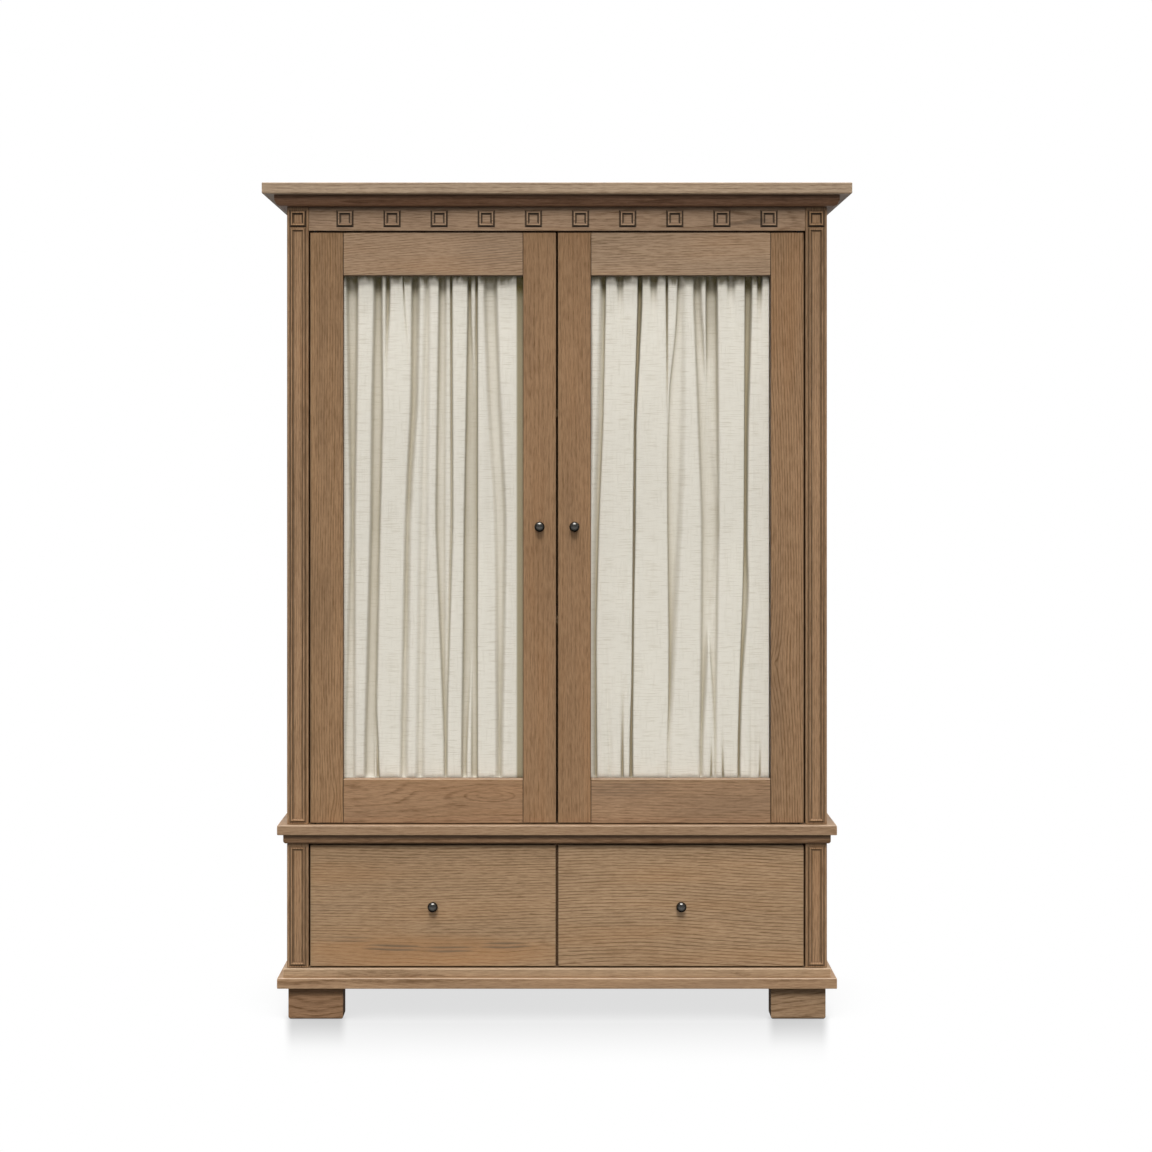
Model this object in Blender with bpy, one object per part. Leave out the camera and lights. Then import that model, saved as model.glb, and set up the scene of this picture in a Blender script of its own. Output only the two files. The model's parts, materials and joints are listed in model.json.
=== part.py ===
"""Tall cabinet: a linen press with two curtained glass doors over two drawers.

Metres, +Z up. The front faces -Y and the origin is on the floor, under the middle of the
cabinet's bounding box. Layers are stacked from the feet up, and each layer's pieces take
their places from the named sizes below.
"""
import math

import bmesh
import bpy
from mathutils import Vector

# Fits
SEAT_GAP = 0.0003  # between two pieces that touch
OVERRUN = 0.004  # how far a cutter passes a face
MERGE_DISTANCE = 0.00001

# The case, measured over the posts
CASE_WIDTH = 1.320
CASE_DEPTH = 0.565  # from the posts' front face to the back
EDGE_EASE = 0.0015  # softened arris of the boards

# Heights of the stacked layers
FOOT_HEIGHT = 0.080
BASE_BOARD_HEIGHT = 0.026
BASE_STEP_HEIGHT = 0.021
LOWER_CASE_HEIGHT = 0.304
LEDGE_HEIGHT = 0.023
WAIST_HEIGHT = 0.024
UPPER_CASE_HEIGHT = 1.509
CORNICE_HEIGHT = 0.026
TOP_HEIGHT = 0.027

# How far each layer stands out past the posts, at the front and at both sides
TOP_OVERHANG = 0.055
WAIST_OVERHANG = 0.022
LEDGE_OVERHANG = 0.0085
BASE_STEP_OVERHANG = 0.0085
BASE_BOARD_OVERHANG = 0.022

# Rounded edges of the layers
TOP_ROUND = 0.003
LEDGE_ROUND = 0.007
BASE_STEP_ROUND = 0.003
BOARD_ROUND = 0.002  # of the waist board and the base board
ROUND_STEPS = 5

# Cornice section: a vertical fillet over an ovolo
CORNICE_PROJECTION = 0.028
CORNICE_OVOLO = 0.014  # how far the ovolo curves in
CORNICE_FILLET = 0.008
CORNICE_SEAT = 0.050  # how far the strip reaches in over the case
OVOLO_STEPS = 12

# Feet
FOOT_WIDTH = 0.134
FOOT_DEPTH = 0.062
FOOT_INSET = 0.003  # behind the posts' faces
FOOT_ROUND = 0.007

# Posts with raised bead frames and blocks
POST_WIDTH = 0.053
POST_DEPTH = 0.045
BLOCK_SIZE = 0.036  # also the width of the bead frames
BLOCK_DROP = 0.011  # from the cornice down to a block
BLOCK_COUNT = 12  # over the whole front, one on each post
BEAD_WIDTH = 0.006
BEAD_RISE = 0.0045
BEAD_ROOT = 0.002  # how deep a bead is let into its board
BEAD_STEPS = 6
BEAD_SHOULDER_SHARE = 0.4  # of the bead's rise, before it rounds over
FRAME_GAP = 0.0055  # between a block and the frame under it
UPPER_FRAME_FOOT = 0.0065
LOWER_FRAME_TOP = 0.009
LOWER_FRAME_FOOT = 0.007

# Sides and backs
SIDE_THICKNESS = 0.020
SIDE_FRAME = 0.060  # width of the frame round the sunk panel
SIDE_PANEL_SINK = 0.006
SIDE_PANEL_SLOPE = 0.008
BACK_THICKNESS = 0.008
BACK_HOUSING = 0.010  # how far the back is let into each side

# Frieze, shelves, partition
FRIEZE_HEIGHT = 0.059
FRIEZE_THICKNESS = 0.020
SHELF_THICKNESS = 0.020
SHELF_HOUSING = 0.006
SHELF_CLEARANCE = 0.018  # behind the posts and the curtains
SHELF_SHARES = (0.32, 0.66)  # of the upper case's height
PARTITION_THICKNESS = 0.018
PARTITION_CLEARANCE = 0.002  # behind the drawer fronts

# Doors
DOOR_THICKNESS = 0.026
DOOR_SETBACK = 0.001
DOOR_SIDE_GAP = 0.0035
DOOR_MEETING_GAP = 0.004
DOOR_TOP_GAP = 0.004
DOOR_BOTTOM_GAP = 0.0025
STILE_WIDTH = 0.081
TOP_RAIL_WIDTH = 0.105
BOTTOM_RAIL_WIDTH = 0.108
TENON_LENGTH = 0.030
TENON_THICKNESS = 0.007
TENON_SETBACK = 0.004
TENON_SHOULDER = 0.015
GLASS_THICKNESS = 0.004
GLASS_LIP = 0.014  # wood in front of the glass
REBATE_WIDTH = 0.008
GLASS_BEAD_ROUND = 0.004

# Door pivots: a plate let into the case, and a pin that turns in the stile
PIVOT_INSET = 0.012  # from the door's hinge edge
PIVOT_SETBACK = 0.007  # from the door's front face
PIVOT_RADIUS = 0.003
PIVOT_PLAY = 0.0003
PIVOT_REACH = 0.012  # length of the pin inside the stile
PIVOT_PLATE_LENGTH = 0.036
PIVOT_PLATE_MARGIN = 0.003  # inside the line of the door's hinge edge
PIVOT_PLATE_WIDTH = 0.010
PIVOT_PLATE_THICKNESS = 0.002
PIVOT_SIDES = 16

# Door catches
CATCH_WIDTH = 0.045
CATCH_DEPTH = 0.014
CATCH_HEIGHT = 0.012

# Curtains on rods behind the glass
ROD_RADIUS = 0.004
ROD_OFFSET = 0.020  # from the glass opening's edge to the rod
ROD_OVERHANG = 0.010  # past the wider curtain edge
ROD_BEND = 0.006
ROD_BEND_STEPS = 3
ROD_SIDES = 8
CLOTH_HALF_THICKNESS = 0.0018
FOLD_HEIGHT = 0.009  # from the middle of the cloth to a crest
POCKET_WALL = 0.0022
CURTAIN_CLEARANCE = 0.001  # behind the door
CURTAIN_OVERLAP = 0.008  # past the opening
LEFT_CURTAIN_SHORT = 0.0135  # the strip left open at the meeting stile
RIGHT_CURTAIN_SHORT = 0.001
CURTAIN_HEADING = 0.010  # past the rod pocket
FOLD_EASE = 0.022  # height over which the folds open out of a pocket
RIPPLE_SHARE = 0.12  # folds left at a pocket
HEM_SHARE = 0.5  # folds at the free edge
BETWEEN_ROW_SHARES = (0.3, 0.5, 0.7)  # of the height between the rods
FOLD_WALL_SHARE = 0.008  # of the cloth's width, from a valley up to a crest
SHOULDER_SHARE = 0.75  # of a crest's height, where its wall ends
BORE_SIDES = 12
# Crests of the folds, each from its left edge to its right one, as shares of the cloth's
# width: at the top, half-way down and at the bottom
LEFT_CREST_SHARES = (
    ((0.000, 0.032), (0.000, 0.053), (0.000, 0.024)),
    ((0.091, 0.188), (0.075, 0.168), (0.078, 0.134)),
    ((0.276, 0.401), (0.218, 0.364), (0.193, 0.339)),
    ((0.439, 0.474), (0.389, 0.446), (0.371, 0.429)),
    ((0.500, 0.556), (0.486, 0.537), (0.465, 0.582)),
    ((0.628, 0.721), (0.633, 0.695), (0.602, 0.684)),
    ((0.772, 0.814), (0.772, 0.825), (0.772, 0.885)),
    ((0.881, 1.000), (0.932, 1.000), (0.911, 1.000)),
)
RIGHT_CREST_SHARES = (
    ((0.000, 0.113), (0.000, 0.037), (0.000, 0.051)),
    ((0.131, 0.274), (0.085, 0.250), (0.075, 0.231)),
    ((0.305, 0.435), (0.267, 0.445), (0.250, 0.438)),
    ((0.453, 0.493), (0.463, 0.488), (0.449, 0.468)),
    ((0.541, 0.582), (0.528, 0.623), (0.483, 0.616)),
    ((0.630, 0.650), (0.640, 0.665), (0.633, 0.695)),
    ((0.719, 0.863), (0.726, 0.863), (0.709, 0.825)),
    ((0.911, 1.000), (0.884, 1.000), (0.839, 1.000)),
)

# Knobs, turned
KNOB_RADIUS = 0.0125
KNOB_REACH = 0.030
KNOB_BALL_DEPTH = 0.021
KNOB_NECK_RADIUS = 0.005
KNOB_ROSE_RADIUS = 0.009
KNOB_ROSE_THICKNESS = 0.0025
KNOB_SIDES = 16
KNOB_BALL_STEPS = 8
DOOR_KNOB_HEIGHT = 0.7245  # above the door's lower edge

# Drawers
DRAWER_FRONT_THICKNESS = 0.022
DRAWER_SETBACK = 0.001
DRAWER_SIDE_GAP = 0.0035
DRAWER_CENTRE_GAP = 0.005
DRAWER_TOP_GAP = 0.004
DRAWER_BOTTOM_GAP = 0.003
DRAWER_CORNER_ROUND = 0.004
BOX_HEIGHT = 0.230
BOX_WALL = 0.012
BOX_BOTTOM = 0.006
BOX_SIDE_PLAY = 0.004
BOX_BACK_CLEARANCE = 0.030
BOX_LIFT = 0.012  # from the running edge to the bottom board
GUIDE_WIDTH = 0.020
GUIDE_HEIGHT = 0.010
GUIDE_PLAY = 0.001
GUIDE_CHEEK = 0.010  # strips under the box, one each side of the guide

# Finishes
OAK_COLOUR = (0.275, 0.165, 0.092)
OAK_PALE_COLOUR = (0.330, 0.225, 0.140)
OAK_INSIDE_COLOUR = (0.360, 0.240, 0.140)
LINEN_COLOUR = (0.640, 0.590, 0.500)
GLASS_COLOUR = (0.800, 0.850, 0.820)
BRONZE_COLOUR = (0.035, 0.028, 0.024)
STEEL_COLOUR = (0.450, 0.450, 0.460)

# Places that follow from the sizes, heights first
BASE_BOARD_Z = FOOT_HEIGHT
BASE_STEP_Z = BASE_BOARD_Z + BASE_BOARD_HEIGHT
LOWER_CASE_Z = BASE_STEP_Z + BASE_STEP_HEIGHT
LEDGE_Z = LOWER_CASE_Z + LOWER_CASE_HEIGHT
WAIST_Z = LEDGE_Z + LEDGE_HEIGHT
UPPER_CASE_Z = WAIST_Z + WAIST_HEIGHT
CORNICE_Z = UPPER_CASE_Z + UPPER_CASE_HEIGHT
TOP_Z = CORNICE_Z + CORNICE_HEIGHT
FRIEZE_Z = CORNICE_Z - FRIEZE_HEIGHT

HALF_CASE = CASE_WIDTH / 2
POST_INNER_X = HALF_CASE - POST_WIDTH
SIDE_INNER_X = HALF_CASE - SIDE_THICKNESS
BACK_Y = (CASE_DEPTH + TOP_OVERHANG) / 2
FRONT_Y = BACK_Y - CASE_DEPTH
POST_BACK_Y = FRONT_Y + POST_DEPTH
BACK_PANEL_Y = BACK_Y - BACK_THICKNESS

DOOR_FRONT_Y = FRONT_Y + DOOR_SETBACK
DOOR_BACK_Y = DOOR_FRONT_Y + DOOR_THICKNESS
DOOR_Z = (UPPER_CASE_Z + DOOR_BOTTOM_GAP, FRIEZE_Z - DOOR_TOP_GAP)
DOOR_INNER_X = DOOR_MEETING_GAP / 2
DOOR_OUTER_X = POST_INNER_X - DOOR_SIDE_GAP
OPENING_Z = (DOOR_Z[0] + BOTTOM_RAIL_WIDTH, DOOR_Z[1] - TOP_RAIL_WIDTH)
OPENING_INNER_X = DOOR_INNER_X + STILE_WIDTH
OPENING_OUTER_X = DOOR_OUTER_X - STILE_WIDTH
REBATE_Y = DOOR_FRONT_Y + GLASS_LIP
PIVOT_X = DOOR_OUTER_X - PIVOT_INSET
PIVOT_Y = DOOR_FRONT_Y + PIVOT_SETBACK

POCKET_HALF_DEPTH = ROD_RADIUS + SEAT_GAP + POCKET_WALL
CURTAIN_HALF_DEPTH = max(POCKET_HALF_DEPTH, FOLD_HEIGHT + CLOTH_HALF_THICKNESS)
ROD_Y = DOOR_BACK_Y + CURTAIN_CLEARANCE + CURTAIN_HALF_DEPTH
SHELF_FRONT_Y = max(POST_BACK_Y, ROD_Y + CURTAIN_HALF_DEPTH) + SHELF_CLEARANCE

DRAWER_FRONT_Y = FRONT_Y + DRAWER_SETBACK
DRAWER_BACK_Y = DRAWER_FRONT_Y + DRAWER_FRONT_THICKNESS
DRAWER_Z = (LOWER_CASE_Z + DRAWER_BOTTOM_GAP, LEDGE_Z - DRAWER_TOP_GAP)
DRAWER_INNER_X = DRAWER_CENTRE_GAP / 2
DRAWER_OUTER_X = POST_INNER_X - DRAWER_SIDE_GAP
DRAWER_MIDDLE_X = (DRAWER_INNER_X + DRAWER_OUTER_X) / 2
DRAWER_MIDDLE_Z = (DRAWER_Z[0] + DRAWER_Z[1]) / 2
PARTITION_FRONT_Y = DRAWER_BACK_Y + PARTITION_CLEARANCE

SIDES = (("left", -1), ("right", 1))


# Small tools

def clear_scene():
    for item in list(bpy.data.objects):
        bpy.data.objects.remove(item, do_unlink=True)


def make_finish(name, colour, roughness, metallic=0.0):
    finish = bpy.data.materials.new(name)
    finish.use_nodes = True
    shader = finish.node_tree.nodes["Principled BSDF"]
    shader.inputs["Base Color"].default_value = (*colour, 1.0)
    shader.inputs["Roughness"].default_value = roughness
    shader.inputs["Metallic"].default_value = metallic
    finish.diffuse_color = (*colour, 1.0)
    return finish


def middle(span):
    return (span[0] + span[1]) / 2


def mirrored(span, side):
    """A span of X given for the right half, on the wanted side."""
    return (min(side * span[0], side * span[1]), max(side * span[0], side * span[1]))


def grown(span, by):
    return (span[0] - by, span[1] + by)


def add_object(name, data, at):
    piece = bpy.data.objects.new(name, data)
    piece.location = at
    bpy.context.collection.objects.link(piece)
    return piece


def add_mesh(name, form, finish, at):
    bmesh.ops.recalc_face_normals(form, faces=form.faces)
    mesh = bpy.data.meshes.new(name)
    form.to_mesh(mesh)
    form.free()
    if finish:
        mesh.materials.append(finish)
    return add_object(name, mesh, at)


def block_form(x, y, z):
    """A plain block, as a form round its own middle, and that middle."""
    at = Vector((middle(x), middle(y), middle(z)))
    form = bmesh.new()
    bmesh.ops.create_cube(form, size=1.0)
    bmesh.ops.scale(form, verts=form.verts, vec=(x[1] - x[0], y[1] - y[0], z[1] - z[0]))
    return form, at


def edges_between(form, first, second):
    """Edges where a face looking one way meets a face looking another way."""
    wanted = {tuple(first), tuple(second)}
    found = []
    form.normal_update()
    for edge in form.edges:
        looks = {tuple(round(part) for part in face.normal) for face in edge.link_faces}
        if looks == wanted:
            found.append(edge)
    return found


def round_edges(form, pairs, radius, segments):
    edges = []
    for first, second in pairs:
        edges += edges_between(form, first, second)
    bmesh.ops.bevel(form, geom=edges, offset=radius, segments=segments, profile=0.5,
                    affect="EDGES", material=-1)


def ease(piece, width=EDGE_EASE, segments=2):
    """Soften the arrises, but not the edges inside a rounded corner."""
    bevel = piece.modifiers.new("eased_edges", "BEVEL")
    bevel.width = width
    bevel.segments = segments
    bevel.limit_method = "ANGLE"
    bevel.angle_limit = math.radians(50)


def board(name, finish, x, y, z, rounds=(), radius=0.0):
    """An eased board; some of its edges may have a larger round."""
    form, at = block_form(x, y, z)
    if rounds:
        round_edges(form, rounds, radius, ROUND_STEPS)
    piece = add_mesh(name, form, finish, at)
    ease(piece)
    return piece


def as_cutter(tool):
    tool.hide_render = True
    tool.display_type = "WIRE"
    return tool


def work(piece, tool, operation):
    """Cut a tool's shape out of a piece, or unite the two."""
    step = piece.modifiers.new(tool.name, "BOOLEAN")
    step.operation = operation
    step.solver = "EXACT"
    step.object = as_cutter(tool)


def cut_block(piece, label, x, y, z):
    form, at = block_form(x, y, z)
    tool = add_mesh(f"{piece.name}_{label}_cutter", form, None, at)
    work(piece, tool, "DIFFERENCE")
    return tool


def cylinder_form(radius, length, sides, axis):
    form = bmesh.new()
    bmesh.ops.create_cone(form, cap_ends=True, segments=sides, radius1=radius, radius2=radius,
                          depth=length)
    turn = Vector((0, 0, 1)).rotation_difference(Vector(axis)).to_matrix()
    bmesh.ops.rotate(form, verts=form.verts, cent=(0, 0, 0), matrix=turn)
    return form


def cut_bore(piece, label, radius, length, sides, axis, at):
    tool = add_mesh(f"{piece.name}_{label}_cutter", cylinder_form(radius, length, sides, axis),
                    None, at)
    work(piece, tool, "DIFFERENCE")
    return tool


def carry(piece, body):
    """Hang a piece, and the tools that shape it, on the empty of its body."""
    tools = [step.object for step in piece.modifiers if step.type == "BOOLEAN"]
    for item in [piece, *tools]:
        item.location = item.location - body.location
        item.parent = body


def bridge(form, rings, closed):
    """Join rings of vertices, one after the other, with faces."""
    steps = len(rings) if closed else len(rings) - 1
    for index in range(steps):
        here = rings[index]
        there = rings[(index + 1) % len(rings)]
        for corner in range(len(here)):
            onward = (corner + 1) % len(here)
            form.faces.new((here[corner], here[onward], there[onward], there[corner]))


# Mouldings

def add_frame(form, half_width, half_height, section, middle_x=0.0, middle_z=0.0):
    """A mitred frame round the Y axis, from a closed section of (inset, y) points."""
    rings = []
    for inset, y in section:
        wide = half_width - inset
        high = half_height - inset
        corners = ((-wide, -high), (wide, -high), (wide, high), (-wide, high))
        rings.append([form.verts.new((middle_x + x, y, middle_z + z)) for x, z in corners])
    bridge(form, rings, closed=True)


def bead_section():
    """A bead that stands out to the front (-Y) from a face at Y = 0."""
    shoulder = BEAD_RISE * BEAD_SHOULDER_SHARE
    points = [(0.0, BEAD_ROOT)]
    for step in range(BEAD_STEPS + 1):
        turn = math.pi * step / BEAD_STEPS
        across = BEAD_WIDTH / 2 * (1 - math.cos(turn))
        points.append((across, -shoulder - (BEAD_RISE - shoulder) * math.sin(turn)))
    points.append((BEAD_WIDTH, BEAD_ROOT))
    return points


def plant_beads(piece, frames, face_y):
    """Unite raised bead frames, given as (x, low z, high z), with a board's front face."""
    form = bmesh.new()
    for x, low, high in frames:
        add_frame(form, BLOCK_SIZE / 2, (high - low) / 2, bead_section(), x, (low + high) / 2)
    tool = add_mesh(f"{piece.name}_beads", form, piece.data.materials[0], (0, face_y, 0))
    work(piece, tool, "UNION")


def cornice_section():
    """Points of (projection, height) round the strip, from its inner foot."""
    foot = CORNICE_PROJECTION - CORNICE_OVOLO
    rise = CORNICE_HEIGHT - CORNICE_FILLET
    points = [(-CORNICE_SEAT, 0.0)]
    for step in range(OVOLO_STEPS + 1):
        turn = math.pi / 2 * step / OVOLO_STEPS
        points.append((foot + CORNICE_OVOLO * math.sin(turn), rise * (1 - math.cos(turn))))
    points.append((CORNICE_PROJECTION, CORNICE_HEIGHT - SEAT_GAP))
    points.append((-CORNICE_SEAT, CORNICE_HEIGHT - SEAT_GAP))
    return points


def cornice_strip(name, finish, ends):
    """Sweep the section between two ends; ends gives both places of a section point."""
    form = bmesh.new()
    first = []
    last = []
    for out, up in cornice_section():
        start, finish_point = ends(out)
        first.append(form.verts.new((*start, up)))
        last.append(form.verts.new((*finish_point, up)))
    bridge(form, [first, last], closed=False)
    form.faces.new(first)
    form.faces.new(last)
    return add_mesh(name, form, finish, (0, 0, CORNICE_Z))


def build_cornice(finish):
    mitre_gap = 2 * SEAT_GAP

    def front_ends(out):
        return (-HALF_CASE - out, FRONT_Y - out), (HALF_CASE + out, FRONT_Y - out)

    cornice_strip("cornice_front", finish, front_ends)
    for word, side in SIDES:
        def side_ends(out, side=side):
            x = side * (HALF_CASE + out)
            return (x, FRONT_Y - out + mitre_gap), (x, BACK_Y)

        cornice_strip(f"cornice_{word}", finish, side_ends)


# Stacked boards: the base, the waist and the top

LEFT = (-1, 0, 0)
RIGHT = (1, 0, 0)
FRONT = (0, -1, 0)
UP = (0, 0, 1)
DOWN = (0, 0, -1)


def layer(name, finish, overhang, low, height, radius, rounded):
    """A board of the full depth, whose front and side edges are rounded above or below."""
    x = (-HALF_CASE - overhang, HALF_CASE + overhang)
    pairs = [(face, way) for way in rounded for face in (LEFT, RIGHT, FRONT)]
    return board(name, finish, x, (FRONT_Y - overhang, BACK_Y), (low, low + height - SEAT_GAP),
                 pairs, radius)


def build_layers(oak, pale):
    layer("base_board", oak, BASE_BOARD_OVERHANG, BASE_BOARD_Z, BASE_BOARD_HEIGHT,
          BOARD_ROUND, (UP, DOWN))
    layer("base_step", oak, BASE_STEP_OVERHANG, BASE_STEP_Z, BASE_STEP_HEIGHT,
          BASE_STEP_ROUND, (UP,))
    layer("waist_moulding", oak, LEDGE_OVERHANG, LEDGE_Z, LEDGE_HEIGHT, LEDGE_ROUND, (DOWN,))
    waist = layer("waist_board", oak, WAIST_OVERHANG, WAIST_Z, WAIST_HEIGHT,
                  BOARD_ROUND, (UP, DOWN))
    for word, side in SIDES:
        x, y = pivot_plate_span(side)
        low = UPPER_CASE_Z - SEAT_GAP - PIVOT_PLATE_THICKNESS - SEAT_GAP
        cut_block(waist, f"{word}_plate", grown(x, SEAT_GAP), grown(y, SEAT_GAP),
                  (low, UPPER_CASE_Z + OVERRUN))
    layer("top_board", pale, TOP_OVERHANG, TOP_Z, TOP_HEIGHT + SEAT_GAP, TOP_ROUND, (DOWN,))


def build_feet(oak):
    high = FOOT_HEIGHT - SEAT_GAP
    outer = HALF_CASE - FOOT_INSET
    rounds = [(DOWN, way) for way in (LEFT, RIGHT, FRONT, (0, 1, 0))]
    rows = (
        ("front", (FRONT_Y + FOOT_INSET, FRONT_Y + FOOT_INSET + FOOT_DEPTH)),
        ("back", (BACK_Y - FOOT_INSET - FOOT_DEPTH, BACK_Y - FOOT_INSET)),
    )
    for row, y in rows:
        for word, side in SIDES:
            board(f"foot_{row}_{word}", oak, mirrored((outer - FOOT_WIDTH, outer), side), y,
                  (0.0, high), rounds, FOOT_ROUND)


# Posts, frieze, sides and backs

def block_span():
    top = CORNICE_Z - BLOCK_DROP
    return top - BLOCK_SIZE, top


def build_posts(oak):
    post_middle = HALF_CASE - POST_WIDTH / 2
    block_low, block_high = block_span()
    for word, side in SIDES:
        x = mirrored((POST_INNER_X + SEAT_GAP, HALF_CASE), side)
        y = (FRONT_Y, POST_BACK_Y)
        upper = board(f"upper_post_{word}", oak, x, y, (UPPER_CASE_Z, CORNICE_Z - SEAT_GAP))
        frames = [
            (side * post_middle, block_low, block_high),
            (side * post_middle, UPPER_CASE_Z + UPPER_FRAME_FOOT, block_low - FRAME_GAP),
        ]
        plant_beads(upper, frames, FRONT_Y)
        lower = board(f"lower_post_{word}", oak, x, y, (LOWER_CASE_Z, LEDGE_Z - SEAT_GAP))
        frames = [(side * post_middle, LOWER_CASE_Z + LOWER_FRAME_FOOT,
                   LEDGE_Z - LOWER_FRAME_TOP)]
        plant_beads(lower, frames, FRONT_Y)


def build_frieze(oak):
    reach = POST_INNER_X - SEAT_GAP
    rail = board("frieze_rail", oak, (-reach, reach),
                 (FRONT_Y, FRONT_Y + FRIEZE_THICKNESS), (FRIEZE_Z, CORNICE_Z - SEAT_GAP))
    post_middle = HALF_CASE - POST_WIDTH / 2
    pitch = 2 * post_middle / (BLOCK_COUNT - 1)
    low, high = block_span()
    frames = [(-post_middle + pitch * index, low, high) for index in range(1, BLOCK_COUNT - 1)]
    plant_beads(rail, frames, FRONT_Y)
    for word, side in SIDES:
        x, y = pivot_plate_span(side)
        cut_block(rail, f"{word}_plate", grown(x, SEAT_GAP), grown(y, SEAT_GAP),
                  (FRIEZE_Z - OVERRUN, FRIEZE_Z + PIVOT_PLATE_THICKNESS + SEAT_GAP))


def side_board(name, finish, side, z):
    """A side with a sunk panel on its outer face and a rebate for the back."""
    x = mirrored((SIDE_INNER_X, HALF_CASE), side)
    y = (POST_BACK_Y + SEAT_GAP, BACK_Y)
    form, at = block_form(x, y, z)
    form.normal_update()
    outer = [face for face in form.faces if face.normal.x * side > 0.5]
    bmesh.ops.inset_region(form, faces=outer, thickness=SIDE_FRAME, use_even_offset=True)
    bmesh.ops.inset_region(form, faces=outer, thickness=SIDE_PANEL_SLOPE,
                           use_even_offset=True)
    bmesh.ops.translate(form, verts=list({v for face in outer for v in face.verts}),
                        vec=(-side * SIDE_PANEL_SINK, 0, 0))
    piece = add_mesh(name, form, finish, at)
    ease(piece)
    rebate_x = mirrored((SIDE_INNER_X - OVERRUN, SIDE_INNER_X + BACK_HOUSING + SEAT_GAP), side)
    cut_block(piece, "rebate", rebate_x, (BACK_PANEL_Y - SEAT_GAP, BACK_Y + OVERRUN),
              grown(z, OVERRUN))
    return piece


def shelf_heights():
    return [UPPER_CASE_Z + share * UPPER_CASE_HEIGHT for share in SHELF_SHARES]


def build_sides(oak, inside):
    for word, side in SIDES:
        upper = side_board(f"upper_side_{word}", oak, side, (UPPER_CASE_Z, CORNICE_Z - SEAT_GAP))
        for index, low in enumerate(shelf_heights()):
            x = mirrored((SIDE_INNER_X - OVERRUN, SIDE_INNER_X + SHELF_HOUSING), side)
            cut_block(upper, f"dado_{index}", x,
                      (SHELF_FRONT_Y - SEAT_GAP, BACK_Y + OVERRUN),
                      (low, low + SHELF_THICKNESS))
        side_board(f"lower_side_{word}", oak, side, (LOWER_CASE_Z, LEDGE_Z - SEAT_GAP))

    half_back = SIDE_INNER_X + BACK_HOUSING
    back_y = (BACK_PANEL_Y, BACK_Y)
    upper_back = board("upper_back_panel", inside, (-half_back, half_back), back_y,
                       (UPPER_CASE_Z, TOP_Z - SEAT_GAP))
    for word, side in SIDES:
        x = mirrored((HALF_CASE - CORNICE_SEAT - SEAT_GAP, half_back + OVERRUN), side)
        cut_block(upper_back, f"{word}_notch", x, grown(back_y, OVERRUN),
                  (CORNICE_Z - SEAT_GAP, TOP_Z + OVERRUN))
    board("lower_back_panel", inside, (-half_back, half_back), back_y,
          (LOWER_CASE_Z, LEDGE_Z - SEAT_GAP))


def build_insides(inside):
    reach = SIDE_INNER_X + SHELF_HOUSING - SEAT_GAP
    for name, low in zip(("shelf_lower", "shelf_upper"), shelf_heights()):
        board(name, inside, (-reach, reach), (SHELF_FRONT_Y, BACK_PANEL_Y - SEAT_GAP),
              (low + SEAT_GAP, low + SHELF_THICKNESS - SEAT_GAP))
    half = PARTITION_THICKNESS / 2
    board("drawer_partition", inside, (-half, half),
          (PARTITION_FRONT_Y, BACK_PANEL_Y - SEAT_GAP), (LOWER_CASE_Z, LEDGE_Z - SEAT_GAP))
    for word, side in SIDES:
        x = box_middle() * side
        board(f"drawer_guide_{word}", inside, (x - GUIDE_WIDTH / 2, x + GUIDE_WIDTH / 2),
              (PARTITION_FRONT_Y, BACK_PANEL_Y - SEAT_GAP),
              (LOWER_CASE_Z, LOWER_CASE_Z + GUIDE_HEIGHT))
        x = side * (DOOR_INNER_X + STILE_WIDTH / 2)
        board(f"door_catch_{word}", inside, (x - CATCH_WIDTH / 2, x + CATCH_WIDTH / 2),
              (DOOR_BACK_Y + SEAT_GAP, DOOR_BACK_Y + SEAT_GAP + CATCH_DEPTH),
              (UPPER_CASE_Z, UPPER_CASE_Z + CATCH_HEIGHT))


# Pivots

def pivot_plate_span(side):
    outer = DOOR_OUTER_X - PIVOT_PLATE_MARGIN
    return (mirrored((outer - PIVOT_PLATE_LENGTH, outer), side),
            (PIVOT_Y - PIVOT_PLATE_WIDTH / 2, PIVOT_Y + PIVOT_PLATE_WIDTH / 2))


def build_pivots(steel):
    top_plate = (FRIEZE_Z, FRIEZE_Z + PIVOT_PLATE_THICKNESS)
    foot = UPPER_CASE_Z - SEAT_GAP
    bottom_plate = (foot - PIVOT_PLATE_THICKNESS, foot)
    rows = (
        ("top", top_plate, (DOOR_Z[1] - PIVOT_REACH, middle(top_plate))),
        ("bottom", bottom_plate, (middle(bottom_plate), DOOR_Z[0] + PIVOT_REACH)),
    )
    for word, side in SIDES:
        x, y = pivot_plate_span(side)
        for row, plate_z, pin_z in rows:
            form, at = block_form(x, y, plate_z)
            plate = add_mesh(f"pivot_{row}_{word}", form, steel, at)
            pin = add_mesh(f"pivot_{row}_{word}_pin",
                           cylinder_form(PIVOT_RADIUS, pin_z[1] - pin_z[0], PIVOT_SIDES, UP),
                           None, (side * PIVOT_X, PIVOT_Y, middle(pin_z)))
            work(plate, pin, "UNION")


# Doors

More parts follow.
